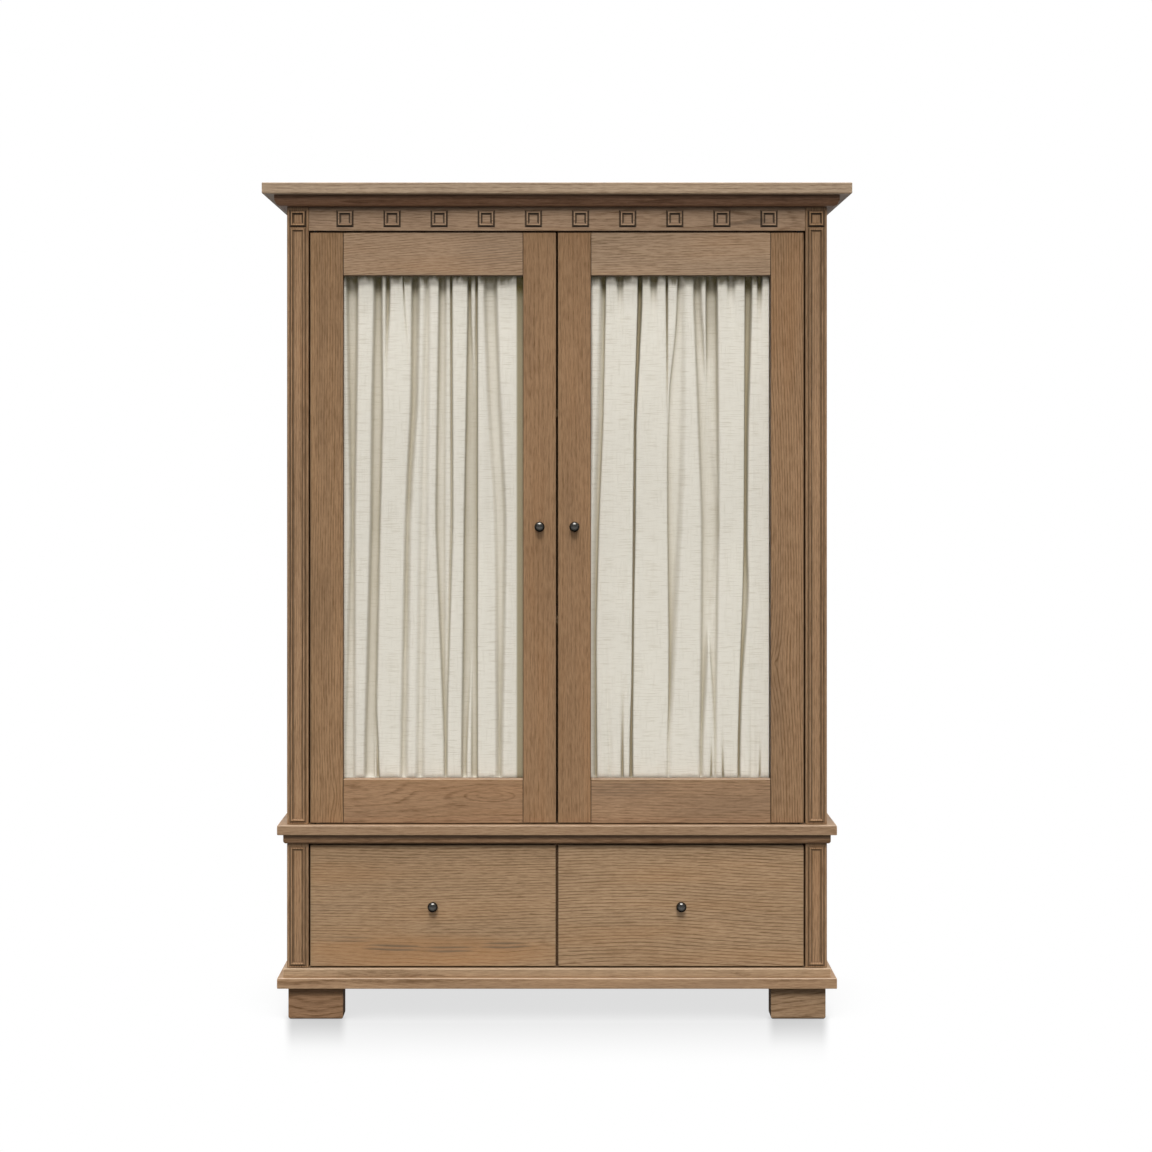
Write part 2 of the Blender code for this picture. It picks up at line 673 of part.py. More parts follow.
def knob_profile():
    """Points of (reach, radius) from the foot of the rose to the tip of the ball."""
    ball_middle = KNOB_REACH - KNOB_BALL_DEPTH / 2
    start = math.asin(KNOB_NECK_RADIUS / KNOB_RADIUS)
    points = [
        (0.0, KNOB_ROSE_RADIUS),
        (KNOB_ROSE_THICKNESS / 2, KNOB_ROSE_RADIUS),
        (KNOB_ROSE_THICKNESS, (KNOB_ROSE_RADIUS + KNOB_NECK_RADIUS) / 2),
        (KNOB_ROSE_THICKNESS, KNOB_NECK_RADIUS),
    ]
    for step in range(KNOB_BALL_STEPS):
        turn = start + (math.pi - start) * step / KNOB_BALL_STEPS
        points.append((ball_middle - KNOB_BALL_DEPTH / 2 * math.cos(turn),
                       KNOB_RADIUS * math.sin(turn)))
    return points


def build_knob(name, finish, body, x, face_y, z):
    """A ball knob turned about an axis along Y, on a face that looks to the front."""
    form = bmesh.new()
    points = knob_profile()
    foot = form.verts.new((0, 0, 0))
    line = [form.verts.new((0, -reach, radius)) for reach, radius in points]
    tip = form.verts.new((0, -KNOB_REACH, 0))
    line = [foot, *line, tip]
    edges = [form.edges.new(pair) for pair in zip(line, line[1:])]
    bmesh.ops.spin(form, geom=line + edges, cent=(0, 0, 0), axis=(0, 1, 0),
                   angle=2 * math.pi, steps=KNOB_SIDES, use_merge=True)
    bmesh.ops.remove_doubles(form, verts=form.verts, dist=MERGE_DISTANCE)
    knob = add_mesh(name, form, finish, (x, face_y - SEAT_GAP, z))
    knob.data.shade_smooth()
    knob.data.set_sharp_from_angle(angle=math.radians(50))
    carry(knob, body)


def rail_with_tenons(name, finish, x, z):
    """A rail between the stiles, with a tenon at each end."""
    y = (DOOR_FRONT_Y, DOOR_BACK_Y)
    rail = board(name, finish, (x[0] + SEAT_GAP, x[1] - SEAT_GAP), y, z)
    form, at = block_form(grown(x, TENON_LENGTH), tenon_y(), grown(z, -TENON_SHOULDER))
    tenons = add_mesh(f"{name}_tenons", form, finish, at)
    work(rail, tenons, "UNION")
    return rail


def tenon_y():
    start = DOOR_FRONT_Y + TENON_SETBACK
    return (start, start + TENON_THICKNESS)


def cut_mortises(stile, x, rails):
    """Mortises in a stile's inner edge, at x, for the tenons of the rails."""
    for index, z in enumerate(rails):
        cut_block(stile, f"mortise_{index}", grown(x, TENON_LENGTH + SEAT_GAP),
                  grown(tenon_y(), SEAT_GAP), grown(z, SEAT_GAP - TENON_SHOULDER))


def cut_glass_rebate(piece, opening_x):
    cut_block(piece, "rebate", grown(opening_x, REBATE_WIDTH),
              (REBATE_Y, DOOR_BACK_Y + OVERRUN), grown(OPENING_Z, REBATE_WIDTH))


def glass_bead_section():
    """Inset and Y of the strip that holds the glass, rounded towards the room inside."""
    front = REBATE_Y + SEAT_GAP + GLASS_THICKNESS + SEAT_GAP
    inner = REBATE_WIDTH - SEAT_GAP
    centre = (inner - GLASS_BEAD_ROUND, DOOR_BACK_Y - GLASS_BEAD_ROUND)
    points = [(0.0, front), (0.0, DOOR_BACK_Y)]
    for step in range(BEAD_STEPS):
        turn = math.pi / 2 * step / (BEAD_STEPS - 1)
        points.append((centre[0] + GLASS_BEAD_ROUND * math.sin(turn),
                       centre[1] + GLASS_BEAD_ROUND * math.cos(turn)))
    points.append((inner, front))
    return points


def curtain_rod(name, finish, x, z):
    """A rod whose two ends turn in to the back of the door."""
    seat_y = DOOR_BACK_Y + SEAT_GAP
    points = [(x[0], seat_y)]
    for step in range(ROD_BEND_STEPS + 1):
        turn = math.pi / 2 * step / ROD_BEND_STEPS
        points.append((x[0] + ROD_BEND * (1 - math.cos(turn)),
                       ROD_Y - ROD_BEND * (1 - math.sin(turn))))
    points += [(x[0] + x[1] - across, y) for across, y in reversed(points)]
    curve = bpy.data.curves.new(name, "CURVE")
    curve.dimensions = "3D"
    curve.bevel_depth = ROD_RADIUS
    curve.bevel_resolution = ROD_SIDES // 2 - 2
    curve.use_fill_caps = True
    line = curve.splines.new("POLY")
    line.points.add(len(points) - 1)
    for point, (across, y) in zip(line.points, points):
        point.co = (across - middle(x), y - ROD_Y, 0, 1)
    curve.materials.append(finish)
    return add_object(name, curve, (middle(x), ROD_Y, z))


def crest_span(levels, level):
    """A crest's two edges at a level, from 0 at the bottom of the cloth to 1 at the top."""
    top, half_way, bottom = levels
    if level < 0.5:
        start, end, way = bottom, half_way, 2 * level
    else:
        start, end, way = half_way, top, 2 * level - 1
    return [here + (there - here) * way for here, there in zip(start, end)]


def fold_columns(crest_shares, level):
    """Places across the cloth and how far each stands out, -1 in a valley and 1 on a crest."""
    reach = FOLD_WALL_SHARE / 2
    columns = []
    for levels in crest_shares:
        left, right = crest_span(levels, level)
        first = left == 0
        last = right == 1
        if not first:
            columns.append((left - reach, -1.0))
        columns.append((0.0 if first else left + reach, SHOULDER_SHARE))
        columns.append(((left + right) / 2, 1.0))
        columns.append((1.0 if last else right - reach, SHOULDER_SHARE))
        if not last:
            columns.append((right + reach, -1.0))
    return columns


def curtain_rows(rod_z):
    """Rows from the lower hem up: height, half thickness and share of the full fold."""
    low, high = rod_z
    thin = CLOTH_HALF_THICKNESS
    lower = [
        (low - POCKET_HALF_DEPTH - CURTAIN_HEADING, thin, HEM_SHARE),
        (low - POCKET_HALF_DEPTH, POCKET_HALF_DEPTH, RIPPLE_SHARE),
        (low + POCKET_HALF_DEPTH, POCKET_HALF_DEPTH, RIPPLE_SHARE),
        (low + POCKET_HALF_DEPTH + FOLD_EASE, thin, 1.0),
    ]
    upper = [(low + high - z, half, share) for z, half, share in reversed(lower)]
    between = [(low + (high - low) * share, thin, 1.0) for share in BETWEEN_ROW_SHARES]
    return lower + between + upper


def build_curtain(name, finish, x, rod_z, crest_shares):
    """One gathered cloth with its folds and a pocket for each rod, as a closed solid."""
    rows = curtain_rows(rod_z)
    form = bmesh.new()
    rings = []
    for z, half, share in rows:
        level = (z - rows[0][0]) / (rows[-1][0] - rows[0][0])
        front = []
        back = []
        for across, stand in fold_columns(crest_shares, level):
            place = x[0] + across * (x[1] - x[0]) - middle(x)
            swing = -stand * share * min(FOLD_HEIGHT, CURTAIN_HALF_DEPTH - half)
            front.append(form.verts.new((place, swing - half, z - rod_z[0])))
            back.append(form.verts.new((place, swing + half, z - rod_z[0])))
        rings.append(front + back[::-1])
    bridge(form, rings, closed=False)
    for ring in (rings[0], rings[-1]):
        half_ring = len(ring) // 2
        for index in range(half_ring - 1):
            form.faces.new((ring[index], ring[index + 1], ring[-index - 2], ring[-index - 1]))
    cloth = add_mesh(name, form, finish, (middle(x), ROD_Y, rod_z[0]))
    for index, z in enumerate(rod_z):
        cut_bore(cloth, f"pocket_{index}", ROD_RADIUS + SEAT_GAP, x[1] - x[0] + 2 * OVERRUN,
                 BORE_SIDES, RIGHT, (middle(x), ROD_Y, z))
    return cloth


def curtain_span(side):
    """The curtain covers the opening and more, but stops short of one edge."""
    short = LEFT_CURTAIN_SHORT if side < 0 else RIGHT_CURTAIN_SHORT
    left, right = mirrored((OPENING_INNER_X, OPENING_OUTER_X), side)
    return (left - CURTAIN_OVERLAP, right - short)


def build_door(word, side, oak, inside, glass, linen, bronze, steel):
    body = add_object(f"{word}_door_axis", None, (side * PIVOT_X, PIVOT_Y, DOOR_Z[0]))
    name = f"{word}_door"
    y = (DOOR_FRONT_Y, DOOR_BACK_Y)
    opening_x = mirrored((OPENING_INNER_X, OPENING_OUTER_X), side)
    rails_z = ((DOOR_Z[0], OPENING_Z[0]), (OPENING_Z[1], DOOR_Z[1]))

    hinge_stile = board(f"{name}_hinge_stile", oak,
                        mirrored((OPENING_OUTER_X, DOOR_OUTER_X), side), y, DOOR_Z)
    meeting_stile = board(f"{name}_meeting_stile", oak,
                          mirrored((DOOR_INNER_X, OPENING_INNER_X), side), y, DOOR_Z)
    for stile in (hinge_stile, meeting_stile):
        cut_mortises(stile, opening_x, rails_z)
    for row, z in enumerate(DOOR_Z):
        cut_bore(hinge_stile, f"pivot_{row}", PIVOT_RADIUS + PIVOT_PLAY,
                 2 * (PIVOT_REACH + SEAT_GAP), PIVOT_SIDES, UP, (side * PIVOT_X, PIVOT_Y, z))
    bottom_rail = rail_with_tenons(f"{name}_bottom_rail", oak, opening_x, rails_z[0])
    top_rail = rail_with_tenons(f"{name}_top_rail", oak, opening_x, rails_z[1])
    frame = [hinge_stile, meeting_stile, bottom_rail, top_rail]
    for piece in frame:
        cut_glass_rebate(piece, opening_x)
        carry(piece, body)

    pane_y = REBATE_Y + SEAT_GAP
    form, at = block_form(grown(opening_x, REBATE_WIDTH - SEAT_GAP),
                          (pane_y, pane_y + GLASS_THICKNESS),
                          grown(OPENING_Z, REBATE_WIDTH - SEAT_GAP))
    carry(add_mesh(f"{name}_glass", form, glass, at), body)

    form = bmesh.new()
    add_frame(form, (opening_x[1] - opening_x[0]) / 2 + REBATE_WIDTH - SEAT_GAP,
              (OPENING_Z[1] - OPENING_Z[0]) / 2 + REBATE_WIDTH - SEAT_GAP,
              glass_bead_section())
    bead = add_mesh(f"{name}_glass_bead", form, oak,
                    (middle(opening_x), 0, middle(OPENING_Z)))
    carry(bead, body)

    curtain_x = curtain_span(side)
    rod_x = grown(grown(opening_x, CURTAIN_OVERLAP), ROD_OVERHANG)
    rod_z = (OPENING_Z[0] - ROD_OFFSET, OPENING_Z[1] + ROD_OFFSET)
    shares = LEFT_CREST_SHARES if side < 0 else RIGHT_CREST_SHARES
    carry(build_curtain(f"{name}_curtain", linen, curtain_x, rod_z, shares), body)
    for row, z in zip(("bottom", "top"), rod_z):
        carry(curtain_rod(f"{name}_curtain_rod_{row}", steel, rod_x, z), body)

    build_knob(f"{name}_knob", bronze, body, side * (DOOR_INNER_X + STILE_WIDTH / 2),
               DOOR_FRONT_Y, DOOR_Z[0] + DOOR_KNOB_HEIGHT)


# Drawers

def box_span():
    """The drawer box of the right bay, between the partition and the post."""
    return (PARTITION_THICKNESS / 2 + BOX_SIDE_PLAY, POST_INNER_X - BOX_SIDE_PLAY)


def box_middle():
    return middle(box_span())


def build_drawer(word, side, oak, inside, bronze):
    body = add_object(f"{word}_drawer_axis", None,
                      (side * DRAWER_MIDDLE_X, DRAWER_FRONT_Y, DRAWER_MIDDLE_Z))
    name = f"{word}_drawer"
    corners = [(way, face) for way in (UP, DOWN) for face in (LEFT, RIGHT)]
    front = board(f"{name}_front", oak, mirrored((DRAWER_INNER_X, DRAWER_OUTER_X), side),
                  (DRAWER_FRONT_Y, DRAWER_BACK_Y), DRAWER_Z, corners, DRAWER_CORNER_ROUND)
    carry(front, body)

    x = mirrored(box_span(), side)
    y = (DRAWER_BACK_Y + SEAT_GAP, BACK_PANEL_Y - BOX_BACK_CLEARANCE)
    low = LOWER_CASE_Z + SEAT_GAP
    z = (low, low + BOX_HEIGHT)
    floor = low + BOX_LIFT
    inner_x = grown(x, -BOX_WALL)
    inner_y = grown(y, -BOX_WALL)
    box = board(f"{name}_box", inside, x, y, z)
    cut_block(box, "inside", inner_x, inner_y, (floor + BOX_BOTTOM, z[1] + OVERRUN))
    channel = (middle(x) - GUIDE_WIDTH / 2 - GUIDE_PLAY, middle(x) + GUIDE_WIDTH / 2 + GUIDE_PLAY)
    cut_block(box, "channel", channel, grown(y, OVERRUN), (low - OVERRUN, floor))
    cut_block(box, "under_left", (inner_x[0], channel[0] - GUIDE_CHEEK), inner_y,
              (low - OVERRUN, floor))
    cut_block(box, "under_right", (channel[1] + GUIDE_CHEEK, inner_x[1]), inner_y,
              (low - OVERRUN, floor))
    carry(box, body)
    build_knob(f"{name}_knob", bronze, body, side * DRAWER_MIDDLE_X, DRAWER_FRONT_Y,
               DRAWER_MIDDLE_Z)


def main():
    clear_scene()
    oak = make_finish("oak", OAK_COLOUR, 0.55)
    pale = make_finish("oak_top", OAK_PALE_COLOUR, 0.55)
    inside = make_finish("oak_inside", OAK_INSIDE_COLOUR, 0.65)
    linen = make_finish("linen", LINEN_COLOUR, 0.90)
    glass = make_finish("glass", GLASS_COLOUR, 0.05)
    bronze = make_finish("dark_bronze", BRONZE_COLOUR, 0.30, 1.0)
    steel = make_finish("steel", STEEL_COLOUR, 0.35, 1.0)

    build_feet(oak)
    build_layers(oak, pale)
    build_posts(oak)
    build_frieze(oak)
    build_sides(oak, inside)
    build_insides(inside)
    build_cornice(oak)
    build_pivots(steel)
    for word, side in SIDES:
        build_door(word, side, oak, inside, glass, linen, bronze, steel)
        build_drawer(word, side, oak, inside, bronze)
    bpy.context.view_layer.update()


main()
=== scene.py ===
import bpy
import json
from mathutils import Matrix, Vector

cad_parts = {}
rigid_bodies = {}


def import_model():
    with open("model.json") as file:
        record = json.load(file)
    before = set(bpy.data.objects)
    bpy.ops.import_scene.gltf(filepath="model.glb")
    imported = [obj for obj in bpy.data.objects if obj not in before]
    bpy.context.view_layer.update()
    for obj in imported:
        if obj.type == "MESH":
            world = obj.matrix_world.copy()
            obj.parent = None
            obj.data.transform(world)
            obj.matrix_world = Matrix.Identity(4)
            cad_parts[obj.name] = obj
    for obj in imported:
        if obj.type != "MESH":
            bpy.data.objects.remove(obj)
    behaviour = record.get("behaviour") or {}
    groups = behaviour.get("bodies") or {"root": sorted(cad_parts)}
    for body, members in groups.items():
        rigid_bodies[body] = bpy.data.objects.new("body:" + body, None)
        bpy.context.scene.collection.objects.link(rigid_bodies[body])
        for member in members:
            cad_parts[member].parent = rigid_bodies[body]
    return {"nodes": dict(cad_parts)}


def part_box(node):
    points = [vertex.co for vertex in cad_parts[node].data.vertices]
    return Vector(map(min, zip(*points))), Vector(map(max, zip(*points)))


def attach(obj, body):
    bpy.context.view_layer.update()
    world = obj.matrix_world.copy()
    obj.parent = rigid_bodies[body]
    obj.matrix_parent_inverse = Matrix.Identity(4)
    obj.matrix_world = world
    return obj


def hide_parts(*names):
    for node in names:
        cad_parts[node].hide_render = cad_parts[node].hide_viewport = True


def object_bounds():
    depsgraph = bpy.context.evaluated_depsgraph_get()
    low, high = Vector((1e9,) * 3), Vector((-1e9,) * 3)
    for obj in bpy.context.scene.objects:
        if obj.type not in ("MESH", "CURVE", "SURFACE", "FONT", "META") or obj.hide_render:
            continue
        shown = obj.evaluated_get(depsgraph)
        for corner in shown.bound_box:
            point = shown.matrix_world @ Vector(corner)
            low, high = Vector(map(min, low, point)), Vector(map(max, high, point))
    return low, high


for start_up_object in list(bpy.data.objects):
    bpy.data.objects.remove(start_up_object, do_unlink=True)
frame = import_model()
CAD_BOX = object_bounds()

import json
import math

import bmesh
import numpy as np
from bpy.props import FloatProperty, FloatVectorProperty, IntProperty, PointerProperty
from mathutils import Vector

bl_info = {
    "name": "Tall oak cabinet",
    "version": (1, 0, 0),
    "blender": (4, 5, 0),
    "location": "3D View > Sidebar > Cabinet",
    "description": "Finishes, knobs and gathered curtains of a two-door cabinet over two drawers",
    "category": "Object",
}

SIDES = ("left", "right")

# Slots of the record that the boards fill
CASE = "oak_case"
DOOR = "oak_door"
DRAWER = "oak_drawer"
INSIDE = "oak_inside"
TOP = "oak_top"

# Bead frames on the posts and the frieze, as the CAD has them
BEAD_WIDTH = 0.006
BLOCK_HALF = 0.018
BLOCK_Z = 1.958
BLOCK_PITCH = 0.11515
POST_X = 0.63335

# Painted highlight on the corners of a board, as a share of the tone of its faces, partly standing
# for wear; below 0 it is painted shade along the corners beside a gap
CORNER_HIGHLIGHT = 0.42
CORNER_SHADE = -0.36

WHITE = (1.0, 1.0, 1.0, 1.0)


class Number:
    """A socket that carries a number, so that shader maths reads as plain Python."""

    def __init__(self, tree, socket):
        self.tree = tree
        self.socket = socket

    def __add__(self, other):
        return self.tree.maths("ADD", self, other)

    def __radd__(self, other):
        return self.tree.maths("ADD", other, self)

    def __sub__(self, other):
        return self.tree.maths("SUBTRACT", self, other)

    def __rsub__(self, other):
        return self.tree.maths("SUBTRACT", other, self)

    def __mul__(self, other):
        return self.tree.maths("MULTIPLY", self, other)

    def __rmul__(self, other):
        return self.tree.maths("MULTIPLY", other, self)

    def __truediv__(self, other):
        return self.tree.maths("DIVIDE", self, other)

    def __rtruediv__(self, other):
        return self.tree.maths("DIVIDE", other, self)

    def __pow__(self, other):
        return self.tree.maths("POWER", self, other)

    def __abs__(self):
        return self.tree.maths("ABSOLUTE", self)


class ShaderTree:
    """The nodes of one finish, with one method that adds any kind of node."""

    def __init__(self, owner):
        owner.use_nodes = True
        self.nodes = owner.node_tree.nodes
        self.links = owner.node_tree.links
        self.nodes.clear()

    def node(self, kind, settings=None, sockets=None):
        """Add a node: first its settings, then the values or links of its sockets."""
        node = self.nodes.new(kind)
        for name, value in (settings or {}).items():
            setattr(node, name, value)
        for name, value in (sockets or {}).items():
            socket = self.open_input(node, name)
            value = getattr(value, "socket", value)
            if isinstance(value, bpy.types.NodeSocket):
                self.links.new(value, socket)
            else:
                socket.default_value = value
        return node

    def open_input(self, node, name):
        """An input by its place or, among those in use, by its name."""
        if isinstance(name, int):
            return node.inputs[name]
        for socket in node.inputs:
            if socket.name == name and socket.enabled:
                return socket
        raise KeyError(f"{node.bl_idname} has no open socket {name}")

    def maths(self, operation, *values):
        node = self.node("ShaderNodeMath", {"operation": operation}, dict(enumerate(values)))
        return Number(self, node.outputs[0])

    def least(self, first, second):
        return self.maths("MINIMUM", first, second)

    def greatest(self, first, second):
        return self.maths("MAXIMUM", first, second)

    def fade(self, value, start, end):
        """0 where the value is at start and 1 where it is at end, with a soft step between."""
        node = self.node("ShaderNodeMapRange", {"interpolation_type": "SMOOTHSTEP"},
                         {"Value": value, "From Min": start, "From Max": end})
        return Number(self, node.outputs[0])

    def vector(self, operation, *values):
        return self.node("ShaderNodeVectorMath", {"operation": operation}, dict(enumerate(values)))

    def place(self):
        """The point of the object, in metres."""
        return self.node("ShaderNodeTexCoord").outputs["Object"]

    def attribute(self, name):
        """A number that is stored on the points of the mesh."""
        node = self.node("ShaderNodeAttribute", {"attribute_name": name})
        return Number(self, node.outputs["Fac"])

    def split(self, vector):
        parts = self.node("ShaderNodeSeparateXYZ", None, {0: vector}).outputs
        return [Number(self, part) for part in parts]

    def noise(self, vector, scale, seed=0.0, detail=2.0, roughness=0.5):
        """Noise with a scale of its own along each axis, in lumps to the metre."""
        spread = self.vector("MULTIPLY_ADD", vector, scale, (seed * 3.7, seed * 5.3, seed * 7.1))
        return self.node("ShaderNodeTexNoise", {"noise_dimensions": "3D"}, {
            "Vector": spread.outputs[0], "Scale": 1.0, "Detail": detail, "Roughness": roughness})

    def grey_noise(self, *args, **settings):
        return Number(self, self.noise(*args, **settings).outputs[0])

    def blend(self, factor, first, second):
        """Mix two colours, given as RGBA or as links."""
        node = self.node("ShaderNodeMix", {"data_type": "RGBA", "clamp_factor": True},
                         {"Factor": factor, "A": first, "B": second})
        return [socket for socket in node.outputs if socket.enabled][0]

    def scaled(self, colour, amount):
        """A colour made lighter or darker by a number."""
        sockets = {0: colour, "Scale": amount}
        return self.node("ShaderNodeVectorMath", {"operation": "SCALE"}, sockets).outputs[0]

    def bump(self, height, distance, strength):
        node = self.node("ShaderNodeBump", None,
                         {"Height": height, "Distance": distance, "Strength": strength})
        return node.outputs[0]

    def either(self, factor, first, second):
        """The first shader where the factor is 0 and the second where it is 1."""
        return self.node("ShaderNodeMixShader", None,
                         {0: factor, 1: first.outputs[0], 2: second.outputs[0]})

    def output(self, shader, kind="ShaderNodeOutputMaterial"):
        self.node(kind, None, {"Surface": shader.outputs[0]})

    def surface(self, sockets):
        """A Principled surface linked to the output."""
        self.output(self.node("ShaderNodeBsdfPrincipled", None, sockets))


def rgba(colour, share=(1.0, 1.0, 1.0)):
    return (*[part * by for part, by in zip(colour, share)], 1.0)


def new_material(name):
    material = bpy.data.materials.new(name)
    return material, ShaderTree(material)


def dress(piece, material):
    piece.data.materials.clear()
    piece.data.materials.append(material)


def object_from(form, name):
    """An object of the scene made of a finished bmesh."""
    mesh = bpy.data.meshes.new(name)
    form.to_mesh(mesh)
    form.free()
    thing = bpy.data.objects.new(name, mesh)
    bpy.context.scene.collection.objects.link(thing)
    return thing


class StageProperties(bpy.types.PropertyGroup):
    camera_height: FloatProperty(
        name="Camera height", description="Height of the level camera above the floor",
        default=1.380, unit="LENGTH")
    camera_distance: FloatProperty(
        name="Camera distance", description="From the lens to the front edge of the top board",
        default=5.600, unit="LENGTH")
    lens: FloatProperty(
        name="Lens", description="Focal length on a 36 mm sensor", default=72.3, unit="CAMERA")
    key_light: FloatProperty(
        name="Key light", description="Level of the soft light from above the camera", default=1.76)
    key_elevation: FloatProperty(
        name="Key elevation", description="Height of the key light over the horizon",
        default=math.radians(40), subtype="ANGLE")
    fill_light: FloatProperty(
        name="Fill light", description="Level of the low light by the camera", default=0.85)
    overhead_light: FloatProperty(
        name="Overhead light", description="Level of the soft light from the ceiling", default=2.6)
    rear_light: FloatProperty(
        name="Rear light", description="Level of the two lights behind the cabinet", default=1.15)
    room_light: FloatProperty(
        name="Room light", description="Level of the even light from all around", default=0.08)
    floor_colour: FloatVectorProperty(
        name="Floor", description="Colour of the pale floor", subtype="COLOR",
        default=(1.0, 1.0, 1.0), min=0.0, max=1.0)
    floor_shade: FloatProperty(
        name="Floor shade", description="How dark the floor gets under the cabinet",
        default=0.28, subtype="FACTOR", min=0.0, max=1.0)


class OakProperties(bpy.types.PropertyGroup):
    case: FloatVectorProperty(
        name="Case", description="Oak of posts, frieze and boards", subtype="COLOR",
        default=(0.290, 0.183, 0.104), min=0.0, max=1.0)
    door: FloatVectorProperty(
        name="Doors", description="Oak of the door frames", subtype="COLOR",
        default=(0.284, 0.170, 0.092), min=0.0, max=1.0)
    drawer: FloatVectorProperty(
        name="Drawers", description="Oak of the drawer fronts", subtype="COLOR",
        default=(0.310, 0.197, 0.111), min=0.0, max=1.0)
    top: FloatVectorProperty(
        name="Top board", description="Oak of the top board", subtype="COLOR",
        default=(0.342, 0.250, 0.168), min=0.0, max=1.0)
    inside: FloatVectorProperty(
        name="Inside", description="Paler oak of shelves, backs and drawer boxes", subtype="COLOR",
        default=(0.420, 0.290, 0.170), min=0.0, max=1.0)
    ring_contrast: FloatProperty(
        name="Ring contrast", description="How dark the growth rings are",
        default=0.80, subtype="FACTOR", min=0.0, max=1.0)
    pore_depth: FloatProperty(
        name="Pore depth", description="Depth of the open grain", default=0.00015, unit="LENGTH")


class FittingProperties(bpy.types.PropertyGroup):
    bronze: FloatVectorProperty(
        name="Bronze", description="Dark patinated bronze of the knobs", subtype="COLOR",
        default=(0.140, 0.136, 0.126), min=0.0, max=1.0)
    steel: FloatVectorProperty(
        name="Steel", description="Steel of rods and pivots", subtype="COLOR",
        default=(0.450, 0.450, 0.460), min=0.0, max=1.0)
    knob_segments: IntProperty(
        name="Knob segments", description="Facets round a turned knob", default=56, min=12)
    glass_tint: FloatVectorProperty(
        name="Glass tint", description="Faint green of the panes", subtype="COLOR",
        default=(0.985, 0.992, 0.985), min=0.0, max=1.0)


class CurtainProperties(bpy.types.PropertyGroup):
    linen: FloatVectorProperty(
        name="Linen", description="Off-white of the cloth", subtype="COLOR",
        default=(0.768, 0.712, 0.632), min=0.0, max=1.0)
    thickness: FloatProperty(
        name="Cloth thickness", description="Thickness of the linen", default=0.0007, unit="LENGTH")
    fold_depth: FloatProperty(
        name="Fold depth", description="From the front of the folds to their back",
        default=0.0200, unit="LENGTH")
    thread_pitch: FloatProperty(
        name="Thread pitch", description="From thread to thread", default=0.0009, unit="LENGTH")
    columns: IntProperty(
        name="Columns", description="Faces across one curtain", default=250, min=50)


# The folds of each curtain, one entry for each valley between two folds. First comes how softly
# its left and right walls fall in. Then come its keys, going down: the height share of the
# opening, the valley's left and right edge as shares of the curtain's width, and its depth share
LEFT_VALLEYS = (
    ((0.012, 0.012), (0.05, 0.032, 0.091, 0.90), (0.49, 0.053, 0.075, 0.80),
     (0.94, 0.020, 0.075, 0.50)),
    ((0.012, 0.011), (0.05, 0.188, 0.229, 0.90), (0.27, 0.174, 0.233, 0.95),
     (0.49, 0.168, 0.218, 0.95), (0.94, 0.134, 0.193, 0.85)),
    ((0.006, 0.006), (0.84, 0.185, 0.197, 0.00), (0.92, 0.191, 0.208, 0.80),
     (1.00, 0.199, 0.216, 0.90)),
    ((0.009, 0.009), (0.05, 0.253, 0.276, 0.70), (0.21, 0.248, 0.253, 0.25),
     (0.27, 0.236, 0.242, 0.00)),
    ((0.006, 0.006), (0.00, 0.347, 0.355, 0.50), (0.05, 0.351, 0.359, 0.35),
     (0.14, 0.372, 0.381, 0.20), (0.19, 0.384, 0.389, 0.00)),
    ((0.011, 0.015), (0.05, 0.401, 0.439, 0.90), (0.27, 0.395, 0.429, 0.85),
     (0.37, 0.378, 0.406, 0.80), (0.49, 0.364, 0.389, 0.75), (0.94, 0.339, 0.371, 0.65)),
    ((0.015, 0.015), (0.05, 0.474, 0.500, 0.60), (0.49, 0.446, 0.486, 0.50),
     (0.94, 0.429, 0.465, 0.60)),
    ((0.011, 0.011), (0.05, 0.556, 0.593, 0.80), (0.49, 0.537, 0.588, 0.80),
     (0.84, 0.576, 0.590, 0.75), (0.94, 0.585, 0.594, 0.90)),
    ((0.008, 0.008), (0.05, 0.556, 0.628, 0.40), (0.49, 0.537, 0.633, 0.45),
     (0.84, 0.576, 0.602, 0.50), (0.94, 0.590, 0.602, 0.30)),
    ((0.006, 0.006), (0.05, 0.618, 0.628, 0.80), (0.49, 0.619, 0.633, 0.55),
     (0.84, 0.593, 0.605, 0.30), (0.94, 0.593, 0.602, 0.20)),
    ((0.008, 0.007), (0.05, 0.720, 0.735, 0.85), (0.49, 0.701, 0.772, 0.90),
     (0.94, 0.684, 0.712, 0.85)),
    ((0.008, 0.007), (0.05, 0.720, 0.772, 0.40), (0.29, 0.709, 0.772, 0.80),
     (0.49, 0.698, 0.772, 0.95), (0.72, 0.695, 0.769, 0.80), (0.94, 0.707, 0.772, 0.30)),
    ((0.007, 0.006), (0.05, 0.762, 0.773, 0.85), (0.29, 0.752, 0.773, 0.60),
     (0.72, 0.741, 0.772, 0.60), (0.94, 0.738, 0.772, 0.85)),
    ((0.015, 0.015), (0.05, 0.814, 0.880, 0.85), (0.25, 0.837, 0.899, 0.85),
     (0.49, 0.876, 0.932, 0.85), (0.72, 0.882, 0.922, 0.85), (0.94, 0.885, 0.910, 0.85)),
    ((0.028, 0.028), (0.05, 0.820, 0.854, 0.10), (0.25, 0.820, 0.899, 0.30),
     (0.49, 0.825, 0.916, 0.35), (0.72, 0.854, 0.910, 0.20), (0.84, 0.876, 0.905, 0.00)),
    ((0.017, 0.017), (0.00, 0.905, 0.961, 0.30), (0.05, 0.905, 0.961, 0.20),
     (0.25, 0.910, 0.961, 0.00)),
)
